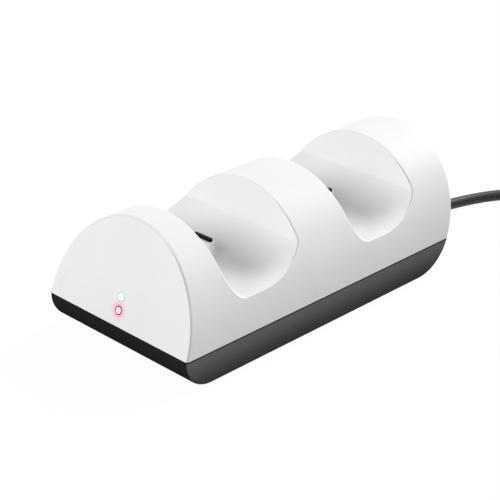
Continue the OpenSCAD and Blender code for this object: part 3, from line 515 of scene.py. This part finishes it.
def between(a: Vector, b: Vector, steps: int) -> list[Vector]:
    """Turn evenly from one direction to another.

    Args:
        a: The first direction.
        b: The last direction.
        steps: The number of steps between them.

    Returns:
        The unit directions, one more than the steps.
    """
    angle = a.angle(b, 0.0)
    if angle < SMALL:
        return [a.copy() for _ in range(steps + 1)]
    shares = (k / steps for k in range(steps + 1))
    return [(a * math.sin((1 - s) * angle) + b * math.sin(s * angle)) / math.sin(angle) for s in shares]


def rounding(middle: Vector, radius: float, directions: Sequence[Vector]) -> Loop:
    """Lay a row of corners round a middle, one in each direction."""
    return [Corner(tuple(middle + radius * d), tuple(d)) for d in directions]


def even_odd(points: np.ndarray, loops: Sequence[np.ndarray]) -> np.ndarray:
    """Tell which points lie inside an outline and outside its holes.

    Args:
        points: Points in the plane, one a row.
        loops: Closed outlines, one point a row.

    Returns:
        True for each point inside.
    """
    inside = np.zeros(len(points), bool)
    x, y = points.T
    for loop in loops:
        for (x0, y0), (x1, y1) in zip(loop, np.roll(loop, -1, axis=0)):
            if y0 != y1:
                inside ^= ((y0 > y) != (y1 > y)) & (x < x0 + (y - y0) * (x1 - x0) / (y1 - y0))
    return inside


class Skin:
    """Collects faces whose corners carry exact normals, and joins equal points.

    With its side at -1 it turns each normal round, for a surface that looks into the cavity.
    """

    def __init__(self) -> None:
        """Start empty."""
        self.side = 1
        self.places: dict[tuple[float, ...], int] = {}
        self.points: list[tuple[float, ...]] = []
        self.faces: list[list[int]] = []
        self.normals: list[tuple[float, ...]] = []

    def number(self, point: Triple) -> int:
        """Give a point's number, the same for equal points."""
        key = tuple(round(c, SAME_DIGITS) for c in point)
        if key not in self.places:
            self.places[key] = len(self.points)
            self.points.append(point)
        return self.places[key]

    def face(self, *corners: Corner) -> None:
        """Add one face, turned so that it looks where its corners' normals do."""
        numbers = [self.number(c.point) for c in corners]
        kept = [i for i in range(len(numbers)) if numbers[i] != numbers[i - 1]]
        if len(kept) < 3:
            return
        a, b, c = (Vector(corners[i].point) for i in kept[:3])
        if self.side * (b - a).cross(c - b).dot(Vector(corners[kept[1]].normal)) < 0:
            kept.reverse()
        self.faces.append([numbers[i] for i in kept])
        self.normals += [tuple(self.side * n for n in corners[i].normal) for i in kept]

    def strip(self, rows: list[Loop], closed: bool = False) -> None:
        """Join rows of corners with four-sided faces.

        Args:
            rows: Rows of the same length.
            closed: Whether the last row joins the first.
        """
        for one, two in zip(rows, [*rows[1:], rows[0]] if closed else rows[1:]):
            for k in range(len(one) - 1):
                self.face(one[k], one[k + 1], two[k + 1], two[k])

    def fill(
        self,
        loops: list[Loop],
        place: Callable[[float, float], Corner] | None = None,
        spacing: float = 0.0,
    ) -> None:
        """Cover a drawn area with triangles.

        Args:
            loops: The outline, then its holes.
            place: Gives the corner at a place in the drawing; without it the inside stays empty.
            spacing: Distance of the points inside.
        """
        outlines = [np.array([c.flat for c in loop]) for loop in loops]
        corners = [c for loop in loops for c in loop]
        edges, first = [], 0
        for loop in loops:
            edges += [(first + i, first + (i + 1) % len(loop)) for i in range(len(loop))]
            first += len(loop)
        if place:
            low, high = outlines[0].min(0), outlines[0].max(0)
            counts = np.maximum(2, np.ceil((high - low) / spacing).astype(int)) + 1
            us, vs = (np.linspace(*span) for span in zip(low, high, counts))
            grid = np.array([(u, v) for u in us for v in vs])
            grid = grid[even_odd(grid, outlines)]
            rim = np.concatenate(outlines)
            near = np.array([np.min(np.hypot(*(rim - p).T)) for p in grid])
            corners += [place(u, v) for u, v in grid[near > CLEAR_OF_RIM * spacing]]
        flats = [Vector(c.flat) for c in corners]
        made, _, faces, source, _, _ = delaunay_2d_cdt(flats, edges, [], 0, SMALL)
        middles = np.array([sum((made[i] for i in f), Vector((0, 0))) / len(f) for f in faces])
        for face, inside in zip(faces, even_odd(middles, outlines)):
            if inside:
                self.face(*(corners[source[i][0]] for i in face))

    def build(self, name: str) -> Piece:
        """Make the mesh object, in metres in the dock's frame."""
        mesh = bpy.data.meshes.new(name)
        mesh.from_pydata([in_metres(p) for p in self.points], [], self.faces)
        mesh.shade_smooth()
        mesh.normals_split_custom_set(self.normals)
        return add_piece(name, mesh)


@dataclass(frozen=True)
class CoverForm:
    """Sizes of the moulded cover, the same as in the part's source.

    Bay_measure is the height over the parting line at which the bay's length is taken.
    """

    radius: float = 33.0
    section_z: float = 11.9
    parting: float = 11.7
    front_lean: float = 18.6
    rear_lean: float = 18.0
    rear_foot: float = 125.5127
    wall: float = 2.2
    bay_starts: Pair = (21.7, 79.0)
    bay_floor: float = 11.5
    bay_length: float = 34.4
    bay_measure: float = 25.0
    bay_back_lean: float = 8.0
    bend_radius: float = 12.0
    bend_angle: float = 36.0
    corner_radius: float = 5.0
    ramp_radius: float = 29.0
    ramp_start: float = 13.3
    crease_radius: float = 2.5
    light_places: Pair = (5.3, 9.8)
    light_hole: float = 3.1
    post_place: float = 16.4
    post_hole: Triple = (9.1, 2.3, 0.45)
    rim_round: float = 1.2
    edge_round: float = 0.5
    foot_round: float = 0.2
    inner_round: float = 0.3

    def crease_middle(self) -> Pair:
        """Give the middle of the crease between ramp and back wall, in the bay's Y and Z."""
        cos, sin = turned(self.bay_back_lean)
        along, into = Vector((sin, cos)), Vector((-cos, sin))
        foot = Vector((self.bay_length, self.bay_measure)) + self.crease_radius * into
        q = foot - Vector((self.ramp_start, self.bay_floor + self.ramp_radius))
        b = -q.dot(along)
        t = b - math.sqrt(b * b - q.dot(q) + (self.ramp_radius - self.crease_radius) ** 2)
        middle = foot + t * along
        return middle.x, middle.y + self.parting


class Arc(NamedTuple):
    """A round stretch of a bay's outline: its middle's Y and Z, its radius and its two angles."""

    y: float
    z: float
    radius: float
    first: float
    last: float

    def length(self) -> float:
        """Give the arc's length."""
        return self.radius * math.radians(self.last - self.first)

    def point(self, angle: float) -> Pair:
        """Give the point at an angle."""
        cos, sin = turned(angle)
        return self.y + self.radius * cos, self.z + self.radius * sin


@dataclass(frozen=True)
class Bay:
    """One bay's surface, inset into the wall, with its rounded edges.

    Wall_steps counts the samples down the front wall and up the back wall. Along the arcs they
    stand about arc_step apart, at least least_steps to an arc.
    """

    form: CoverForm
    start: float
    inset: float
    edge: float
    steps: int
    wall_steps: tuple[int, int] = (20, 24)
    arc_step: float = 1.0
    least_steps: int = 6
    hole_steps: int = 4

    def ball_reach(self) -> float:
        """Give the distance of the edge's rounding from the cover's axis."""
        return self.form.radius - self.inset - self.edge

    def arcs(self) -> list[Arc]:
        """Give the round stretches from the front wall to the back wall."""
        f, g = self.form, self.inset
        cos, sin = turned(f.bend_angle)
        low = f.parting + f.bay_floor
        bend = (f.bend_radius, low + f.corner_radius * (1 - sin) + f.bend_radius * sin)
        short = f.bend_radius - f.corner_radius
        corner = (bend[0] - short * cos, bend[1] - short * sin)
        ramp = (f.ramp_start, low + f.ramp_radius)
        crease = f.crease_middle()
        turn = 360 + math.degrees(math.atan2(crease[1] - ramp[1], crease[0] - ramp[0]))
        return [
            Arc(*bend, f.bend_radius + g, 180.0, 180 + f.bend_angle),
            Arc(*corner, f.corner_radius + g, 180 + f.bend_angle, 270.0),
            Arc(*ramp, f.ramp_radius + g, 270.0, turn),
            Arc(*crease, f.crease_radius + g, turn, 360 - f.bay_back_lean),
        ]

    def stops(self) -> list[float]:
        """Give the lengths at which the edge is sampled, from the front wall's top to the back wall's."""
        f, reach, arcs = self.form, self.ball_reach(), self.arcs()
        down, up = self.wall_steps
        last = math.acos((arcs[0].z - f.section_z) / reach)
        stops = [reach * (1 - math.cos(last * i / down)) for i in range(down)]
        length = f.section_z + reach - arcs[0].z
        for arc in arcs:
            count = max(self.least_steps, math.ceil(arc.length() / self.arc_step))
            stops += [length + arc.length() * i / count for i in range(count)]
            length += arc.length()
        cos, sin = turned(f.bay_back_lean)
        _, low = arcs[-1].point(arcs[-1].last)
        foot = f.section_z + self.edge * sin
        last = math.acos((low - foot) / reach)
        heights = (foot + reach * math.cos(last * (1 - i / up)) for i in range(up + 1))
        return stops + [length + (z - low) / cos for z in heights]

    def on_surface(self, travelled: float, x: float) -> Corner:
        """Place a point of the unrolled bay surface.

        Args:
            travelled: Length from the front wall's top.
            x: Place across.

        Returns:
            The corner.
        """
        arcs = self.arcs()
        rest = travelled + arcs[0].z - self.form.section_z - self.ball_reach()
        y, z, angle = -self.inset, arcs[0].z - rest, arcs[0].first
        for arc in arcs:
            # A joint counts as the next arc's begin
            if rest > -SMALL:
                angle = arc.first + math.degrees(min(rest, arc.length()) / arc.radius)
                y, z = arc.point(angle)
            rest -= arc.length()
        cos, sin = turned(angle)
        over = max(0.0, rest)
        return Corner((x, y + self.start - over * sin, z + over * cos), (0.0, -cos, -sin), (travelled, x))

    def row(self, travelled: float, side: int) -> Loop:
        """Give one row of the rounded edge, from the arch to the bay's surface.

        Args:
            travelled: Length from the front wall's top.
            side: 1 or -1, the side of the dock.

        Returns:
            The row's corners, the last one drawn on the unrolled bay surface.
        """
        (_, y, z), (_, ny, nz), _ = self.on_surface(travelled, 0.0)
        y, rise = y - self.edge * ny, z - self.edge * nz - self.form.section_z
        x = side * math.sqrt(max(0.0, self.ball_reach() ** 2 - rise**2))
        turns = between(Vector((x, 0, rise)).normalized(), Vector((0, ny, nz)), self.steps)
        *row, last = rounding(Vector((x, y, self.form.section_z + rise)), self.edge, turns)
        return [*row, last.drawn_at(travelled, last.point[0])]

    def rows(self) -> list[Loop]:
        """Give the rows of the rounded edge all round the bay."""
        stops = self.stops()
        return [self.row(s, 1) for s in stops] + [self.row(s, -1) for s in stops[-2:0:-1]]

    def post_hole(self) -> Loop:
        """Draw the post's hole in the ramp on the unrolled bay surface."""
        f, (bend, corner, ramp, _) = self.form, self.arcs()
        width, depth, r = f.post_hole
        begin = f.section_z + self.ball_reach() - bend.z + bend.length() + corner.length()
        loop = []
        for quarter, (sx, sy) in enumerate(((1, 1), (-1, 1), (-1, -1), (1, -1))):
            for i in range(self.hole_steps + 1):
                cos, sin = turned(90 * (quarter + i / self.hole_steps))
                y = f.post_place + sy * (depth / 2 - r) + r * sin
                along = ramp.radius * math.asin((y - ramp.y) / ramp.radius)
                loop.append(self.on_surface(begin + along, sx * (width / 2 - r) + r * cos))
        return loop


@dataclass(frozen=True)
class CoverSkin:
    """The cover's outside, or with an inset its inside, as one skin open at the parting line."""

    form: CoverForm
    inset: float
    rim: float
    edge: float
    foot: float
    steps: int
    rim_count: int = 100
    foot_count: int = 24
    foot_steps: int = 4
    light_count: int = 40
    spacing: float = 2.0
    end_spacing: float = 3.0

    def reach(self) -> float:
        """Give the arch's radius."""
        return self.form.radius - self.inset

    def last(self) -> float:
        """Give the unrolled arch's half width, down to the foot's rounding."""
        return self.reach() * math.pi / 2 + self.form.section_z - self.form.parting - self.foot

    def end_face(self, end: int) -> tuple[Vector, Vector, Vector]:
        """Lay out an end face.

        Args:
            end: -1 for the front, 1 for the rear.

        Returns:
            The outward normal, a point at the foot and the direction up the slope.
        """
        f = self.form
        cos, sin = turned(f.front_lean if end < 0 else f.rear_lean)
        normal = Vector((0, end * cos, -end * sin))
        foot = Vector((0, 0.0 if end < 0 else f.rear_foot, f.parting)) - self.inset * normal
        return normal, foot, Vector((0, -end * normal.z, end * normal.y))

    def rim_row(self, u: float, end: int) -> Loop:
        """Give the rounded rim's row, from the arch to the end face.

        Args:
            u: Place across the unrolled arch.
            end: -1 for the front rim, 1 for the rear one.

        Returns:
            The row's corners.
        """
        f, r, side = self.form, self.rim, 1 if u > 0 else -1
        face, foot, _ = self.end_face(end)
        reach = self.reach() - r
        angle = max(-math.pi / 2, min(math.pi / 2, u / self.reach()))
        at_foot = abs(abs(u) - self.last()) < SMALL
        outwards = Vector((side, 0, 0)) if at_foot else Vector((math.sin(angle), 0, math.cos(angle)))
        row = []
        for d in between(outwards, face, self.steps):
            x, z = reach * math.sin(angle), f.section_z + reach * math.cos(angle)
            if at_foot:
                z = f.parting + self.foot - (r - self.foot) * d.z
                x = side * math.sqrt(reach**2 - max(0.0, z - f.section_z) ** 2)
            y = foot.y + (-r - (z - foot.z) * face.z) / face.y
            row += rounding(Vector((x, y, z)), r, [d])
        return row

    def rim_rows(self, end: int) -> list[Loop]:
        """Give the rounded rim's rows from the left foot to the right one."""
        n = self.rim_count
        return [self.rim_row(self.last() * (2 * i / n - 1), end) for i in range(n + 1)]

    def line(self, first: Corner, last: Corner, count: int) -> Loop:
        """Give the points between two corners along a straight lower edge."""
        a, b = Vector(first.point), Vector(last.point)
        return [Corner(tuple(a.lerp(b, i / count)), first.normal) for i in range(1, count)]

    def side_edge(self, front: Corner, rear: Corner) -> Loop:
        """Give the points along one side's lower edge."""
        length = (Vector(rear.point) - Vector(front.point)).length
        return self.line(front, rear, math.ceil(length / self.spacing))

    def drawn_on_arch(self, corner: Corner) -> Corner:
        """Draw a corner on the unrolled arch."""
        x, y, z = corner.point
        u = self.reach() * math.atan2(x, z - self.form.section_z)
        if z <= self.form.section_z:
            u = math.copysign(self.reach() * math.pi / 2 + self.form.section_z - z, x)
        return corner.drawn_at(u, y)

    def on_arch(self, u: float, y: float) -> Corner:
        """Place a point of the unrolled arch."""
        reach = self.reach()
        sin, cos = math.sin(u / reach), math.cos(u / reach)
        return Corner((reach * sin, y, self.form.section_z + reach * cos), (sin, 0.0, cos), (u, y))

    def end_placer(self, end: int) -> Callable[[float, float], Corner]:
        """Make the function that places a point of an end face, X across and then up the slope."""
        face, foot, up = self.end_face(end)
        return lambda x, v: Corner((x, *(foot + up * v).yz), tuple(face), (x, v))

    def light_hole(self, place: float) -> Loop:
        """Draw one light window's hole on the front face."""
        r, placer = self.form.light_hole / 2, self.end_placer(-1)
        turns = [math.tau * i / self.light_count for i in range(self.light_count)]
        return [placer(r * math.cos(a), place + r * math.sin(a)) for a in turns]

    def build_bays(self, skin: Skin) -> tuple[list[Loop], list[Loop]]:
        """Add the bays' surfaces and rounded edges.

        Args:
            skin: The collector.

        Returns:
            The bays' outlines on the unrolled arch, and the loops of the posts' holes.
        """
        outlines, holes = [], []
        for start in self.form.bay_starts:
            bay = Bay(self.form, start, self.inset, self.edge, self.steps)
            rows, hole = bay.rows(), bay.post_hole()
            skin.strip(rows, closed=True)
            skin.fill([[row[-1] for row in rows], hole], bay.on_surface, self.spacing)
            outlines.append([self.drawn_on_arch(row[0]) for row in rows])
            holes.append(hole)
        return outlines, holes

    def build_end(self, skin: Skin, rows: list[Loop], end: int) -> tuple[Loop, list[Loop]]:
        """Add an end face.

        Args:
            skin: The collector.
            rows: The rim's rows.
            end: -1 for the front, 1 for the rear.

        Returns:
            The points along its lower edge, and the loops of its light holes.
        """
        _, foot, up = self.end_face(end)
        lower = self.line(rows[0][-1], rows[-1][-1], self.foot_count)
        loop = [row[-1] for row in rows] + lower[::-1]
        drawn = [c.drawn_at(c.point[0], (Vector(c.point) - foot).dot(up)) for c in loop]
        lights = [self.light_hole(place) for place in self.form.light_places] if end < 0 else []
        skin.fill([drawn, *lights], self.end_placer(end), self.end_spacing)
        return lower, lights

    def build(self, skin: Skin) -> tuple[Loop, list[Loop]]:
        """Add this skin's faces.

        Args:
            skin: The collector.

        Returns:
            The lower loop, and the loops of the holes.
        """
        front, rear = self.rim_rows(-1), self.rim_rows(1)
        skin.strip(front)
        skin.strip(rear)
        right = self.side_edge(front[-1][0], rear[-1][0])
        left = self.side_edge(front[0][0], rear[0][0])
        outlines, holes = self.build_bays(skin)
        rim = [row[0] for row in front] + right + [row[0] for row in reversed(rear)] + left[::-1]
        skin.fill([[self.drawn_on_arch(c) for c in rim], *outlines], self.on_arch, self.spacing)
        front_foot, lights = self.build_end(skin, front, -1)
        rear_foot, _ = self.build_end(skin, rear, 1)
        ring = front_foot + front[-1][::-1] + right + rear[-1]
        ring += rear_foot[::-1] + rear[0][::-1] + left[::-1] + front[0]
        if self.foot > 0:
            down, rows = Vector((0, 0, -1)), []
            for c in ring:
                normal = Vector(c.normal)
                turns = between(normal, down, self.foot_steps)
                rows.append(rounding(Vector(c.point) - self.foot * normal, self.foot, turns))
            skin.strip(rows, closed=True)
            ring = [row[-1] for row in rows]
        return ring, lights + holes


@dataclass
class Cover:
    """The white moulding with its two bays: an outer and an inner skin joined into one wall."""

    form: CoverForm = CoverForm()
    outer_steps: int = 6
    inner_steps: int = 2

    def build(self) -> Piece:
        """Make the cover.

        Returns:
            The mesh piece.
        """
        f, skin = self.form, Skin()
        outside = CoverSkin(f, 0.0, f.rim_round, f.edge_round, f.foot_round, self.outer_steps)
        inside = CoverSkin(f, f.wall, f.inner_round, f.inner_round, 0.0, self.inner_steps)
        outer, outer_holes = outside.build(skin)
        skin.side = -1
        inner, inner_holes = inside.build(skin)
        skin.side = 1
        down = (0.0, 0.0, -1.0)
        skin.fill([[Corner(c.point, down, c.point[:2]) for c in loop] for loop in (outer, inner)])
        for outer_hole, inner_hole in zip(outer_holes, inner_holes):
            middle = sum((Vector(c.point) for c in outer_hole), Vector()) / len(outer_hole)
            rows = []
            for a, b in zip(outer_hole, inner_hole):
                along = (Vector(b.point) - Vector(a.point)).normalized()
                spoke = middle - Vector(a.point)
                normal = tuple((spoke - along * spoke.dot(along)).normalized())
                rows.append([Corner(a.point, normal), Corner(b.point, normal)])
            skin.strip(rows, closed=True)
        piece = skin.build("cover_shell")
        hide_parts("top_cover")
        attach(piece, BODY)
        return piece


@dataclass(frozen=True)
class Lamp:
    """One square soft lamp that looks at the dock.

    Azimuth and elevation are its side and height in degrees, counted as the camera's. Size
    is its edge in metres, and distance and aim_z are metres too.
    """

    name: str
    azimuth: float
    elevation: float
    size: float
    watts: float
    distance: float = 1.6
    aim_z: float = 0.03


@dataclass
class Studio:
    """Floor, world, lamps and the camera at the photograph's angle.

    Camera_place, clip and floor_half are in metres. Floor_shown is the share of plain white
    that a viewer sees; the rest is the matt colour, which keeps a faint shadow.
    """

    azimuth: float = 45.0483
    elevation: float = 25.6839
    lens: float = 106.13
    sensor: float = 36.0
    camera_place: Triple = (0.316503, -0.324494, 0.233019)
    clip: Pair = (0.01, 50.0)
    world_level: float = 0.37
    floor_half: float = 3.0
    floor_colour: str = "#dadada"
    floor_glow: float = 1.03
    floor_shown: float = 0.93
    lamps: tuple[Lamp, ...] = (
        Lamp("front_lamp", -10.0, 30.0, 0.7, 13.7),
        Lamp("rear_lamp", 176.0, 36.0, 0.7, 22.0),
        Lamp("side_lamp", 80.0, 15.0, 1.0, 1.7),
    )

    def aim(self, piece: Piece, azimuth: float, elevation: float) -> Vector:
        """Turn a camera or lamp so that it looks at the dock.

        Args:
            piece: The camera or lamp.
            azimuth: The side that it looks from, in degrees.
            elevation: Its height, in degrees.

        Returns:
            The direction from the dock towards it.
        """
        (ca, sa), (ce, se) = turned(azimuth), turned(elevation)
        back = Vector((sa * ce, -ca * ce, se))
        piece.rotation_mode = "QUATERNION"
        piece.rotation_quaternion = (-back).to_track_quat("-Z", "Y")
        return back

    def make_camera(self) -> None:
        """Set the camera."""
        data = bpy.data.cameras.new("camera")
        data.lens, data.sensor_width = self.lens, self.sensor
        data.clip_start, data.clip_end = self.clip
        camera = add_piece("camera", data)
        camera.location = self.camera_place
        self.aim(camera, self.azimuth, self.elevation)
        bpy.context.scene.camera = camera

    def seen(self, tree: Tree) -> Node:
        """Tell rays that show a background from those that carry light."""
        rays = add_node(tree, "ShaderNodeLightPath").outputs
        share = rays["Is Camera Ray"]
        for kind in ("Is Glossy Ray", "Is Transmission Ray"):
            share = add_node(tree, "ShaderNodeMath", {0: share, 1: rays[kind]}, operation="MAXIMUM")
        return share

    def make_world(self) -> None:
        """Light the studio softly from all round and show it white."""
        world = bpy.data.worlds.new("studio")
        tree = fresh_tree(world)
        light = add_node(tree, "ShaderNodeBackground", {"Color": WHITE, "Strength": self.world_level})
        shown = add_node(tree, "ShaderNodeBackground", {"Color": WHITE, "Strength": 1.0})
        mixed = add_node(tree, "ShaderNodeMixShader", {0: self.seen(tree), 1: light, 2: shown})
        add_node(tree, "ShaderNodeOutputWorld", {"Surface": mixed})
        bpy.context.scene.world = world

    def make_floor(self) -> None:
        """Lay a plain pale floor that keeps a faint shadow."""
        mesh, half = bpy.data.meshes.new("floor"), self.floor_half
        corners = [(-half, -half, 0), (half, -half, 0), (half, half, 0), (-half, half, 0)]
        mesh.from_pydata(corners, [], [(0, 1, 2, 3)])
        floor = add_piece("floor", mesh)
        material = bpy.data.materials.new("pale_floor")
        tree = fresh_tree(material)
        matt = add_node(tree, "ShaderNodeBsdfDiffuse", {"Color": linear(self.floor_colour)})
        glow = add_node(tree, "ShaderNodeEmission", {"Color": WHITE, "Strength": self.floor_glow})
        seen = {0: self.seen(tree), 1: self.floor_shown}
        share = add_node(tree, "ShaderNodeMath", seen, operation="MULTIPLY")
        mixed = add_node(tree, "ShaderNodeMixShader", {0: share, 1: matt, 2: glow})
        add_node(tree, "ShaderNodeOutputMaterial", {"Surface": mixed})
        mesh.materials.append(material)

    def hang(self, lamp: Lamp) -> None:
        """Hang one lamp."""
        data = bpy.data.lights.new(lamp.name, "AREA")
        data.shape, data.size, data.energy = "SQUARE", lamp.size, lamp.watts
        piece = add_piece(lamp.name, data)
        back = self.aim(piece, lamp.azimuth, lamp.elevation)
        piece.location = back * lamp.distance + Vector((0, 0, lamp.aim_z))

    def build(self) -> None:
        """Set up the whole studio."""
        self.make_camera()
        self.make_world()
        self.make_floor()
        for lamp in self.lamps:
            self.hang(lamp)


@dataclass
class Lead:
    """The lead from the sleeve's tip along the ground, round its coil and to the plug.

    Coil_changes gives each change of turn in the coil as first and last degree travelled and
    change of radius, and coil_climb the degrees between which it climbs to the upper layer.
    """

    radius: float = 2.1
    start: float = 103.51
    exit_y: float = 135.913
    height: float = 7.9
    sleeve_gap: float = 0.4
    coil_middle: Pair = (50.7, 194.113)
    coil_radius: float = 27.2
    coil_changes: tuple[Triple, ...] = (
        (270, 350, -4.2), (630, 710, -4.2), (1222, 1286, 4.2), (1582, 1646, 4.2),
    )
    coil_climb: Pair = (928, 988)
    coil_step: float = 8.0
    turns: int = 5
    entry: float = 140.0
    leave: float = 0.0
    stub: float = 16.0
    tail: float = 21.0
    tail_flat: float = 0.08
    plug_height: float = 4.0
    curve_steps: int = 3

    def run(self) -> list[Vector]:
        """Give the points of the free stretch, from the sleeve's tip to the coil's stub."""
        points = (
            (0, self.exit_y, self.height), (0, 138.2, 7.84), (0, 142, 7.3), (0.1, 147, 5.8),
            (0.3, 152, 4.1), (0.7, 157, 2.8), (1.4, 162, 2.2), (2.7, 167.5, 2.1), (4.3, 173, 2.1),
            (6.1, 178, 2.1), (8.3, 183, 2.1), (11, 187.8, 2.1), (13.9, 191.9, 2.1), (17.65, 197.03, 2.1),
        )
        return [Vector(p) for p in points]

    def step(self, travelled: float, begin: float, end: float) -> float:
        """Ease from 0 to 1 between two angles."""
        t = min(1.0, max(0.0, (travelled - begin) / (end - begin)))
        return t * t * (3 - 2 * t)

    def coil(self) -> list[Vector]:
        """Give the coil's points: three turns inwards on the ground, then three outwards on top."""
        last = self.turns * 360 + self.entry - self.leave
        points = []
        for i in range(int(last / self.coil_step) + 1):
            a = min(last, i * self.coil_step)
            changes = (by * self.step(a, begin, end) for begin, end, by in self.coil_changes)
            r = self.coil_radius + sum(changes)
            cos, sin = turned(self.entry - a)
            z = self.radius * (1 + 2 * self.step(a, *self.coil_climb))
            points.append(Vector((self.coil_middle[0] + r * cos, self.coil_middle[1] + r * sin, z)))
        return points

    def heading(self, angle: float) -> Vector:
        """Give the coil's direction of travel at an angle."""
        cos, sin = turned(angle)
        return Vector((sin, -cos, 0))

    def route(self) -> list[Vector]:
        """Give the whole centre line in millimetres."""
        coil, out = self.coil(), self.heading(self.leave)
        into = [coil[0] - self.heading(self.entry) * d for d in (self.stub, 12.0, 8.0, 4.0)]
        top = coil[-1]
        end = [top + out * d for d in (4.0, 8.0, 12.0, self.stub)]
        drop, flat = top.z - self.plug_height, self.tail_flat
        for t in (0.08, 0.17, 0.25, 0.34, 0.42, 0.5, 0.58, 0.66, 0.75, 0.84, 0.92, 1.0):
            u = min(1.0, max(0.0, (t - flat) / (1 - 2 * flat)))
            low = Vector((0, 0, drop * (1 - math.cos(math.pi * u)) / 2))
            end.append(top + out * (self.stub + t * self.tail) - low)
        return self.smooth(self.run() + into) + coil[1:] + end

    def smooth(self, points: list[Vector]) -> list[Vector]:
        """Lay a smooth curve through points.

        Args:
            points: The points in order.

        Returns:
            The points with the curve's points between them.
        """
        made, last = [points[0]], len(points) - 1
        for i in range(last):
            a, b = points[i], points[i + 1]
            ta = (b - points[max(0, i - 1)]) / 2
            tb = (points[min(last, i + 2)] - a) / 2
            for k in range(1, self.curve_steps + 1):
                t = k / self.curve_steps
                s = 3 * t**2 - 2 * t**3
                made.append(a * (1 - s) + b * s + ta * (t**3 - 2 * t**2 + t) + tb * (t**3 - t**2))
        return made

    def tube(self, name: str, points: list[Vector], material: bpy.types.Material) -> Piece:
        """Make a round tube along a line.

        Args:
            name: The piece's name.
            points: The line in millimetres.
            material: Its material.

        Returns:
            The curve object.
        """
        data = bpy.data.curves.new(name, "CURVE")
        data.dimensions = "3D"
        data.bevel_depth = self.radius * MM
        data.bevel_resolution = 6
        data.use_fill_caps = True
        spline = data.splines.new("POLY")
        spline.points.add(len(points) - 1)
        for target, p in zip(spline.points, points):
            target.co = (*in_metres(p), 1.0)
        spline.use_smooth = True
        data.materials.append(material)
        piece = add_piece(name, data)
        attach(piece, BODY)
        LOG.info("piece %s: %d points", name, len(points))
        return piece

    def build(self) -> None:
        """Lay the lead."""
        material = LEAD_PVC.build()
        points = self.route()
        lead = self.tube("lead", points, material)
        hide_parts("cord_run", "cord_coil", "cord_tail")
        inside = (0.0, 10.0, 20.0, self.exit_y - self.start - self.sleeve_gap)
        self.tube("lead_inside", [Vector((0, self.start + d, self.height)) for d in inside], material)


def main() -> None:
    """Build everything in order and report each piece."""
    logging.basicConfig(level=logging.INFO, format="%(name)s: %(message)s")
    bpy.context.scene.view_settings.view_transform = "Standard"
    Studio().build()
    LOG.info("studio stands")
    Lead().build()
    cover = Cover().build()
    LOG.info("piece %s: %d faces", cover.name, len(cover.data.polygons))
    for finish in FINISHES:
        material = finish.build()
        if finish is COVER_ABS:
            cover.data.materials.append(material)


if __name__ == "__main__":
    main()
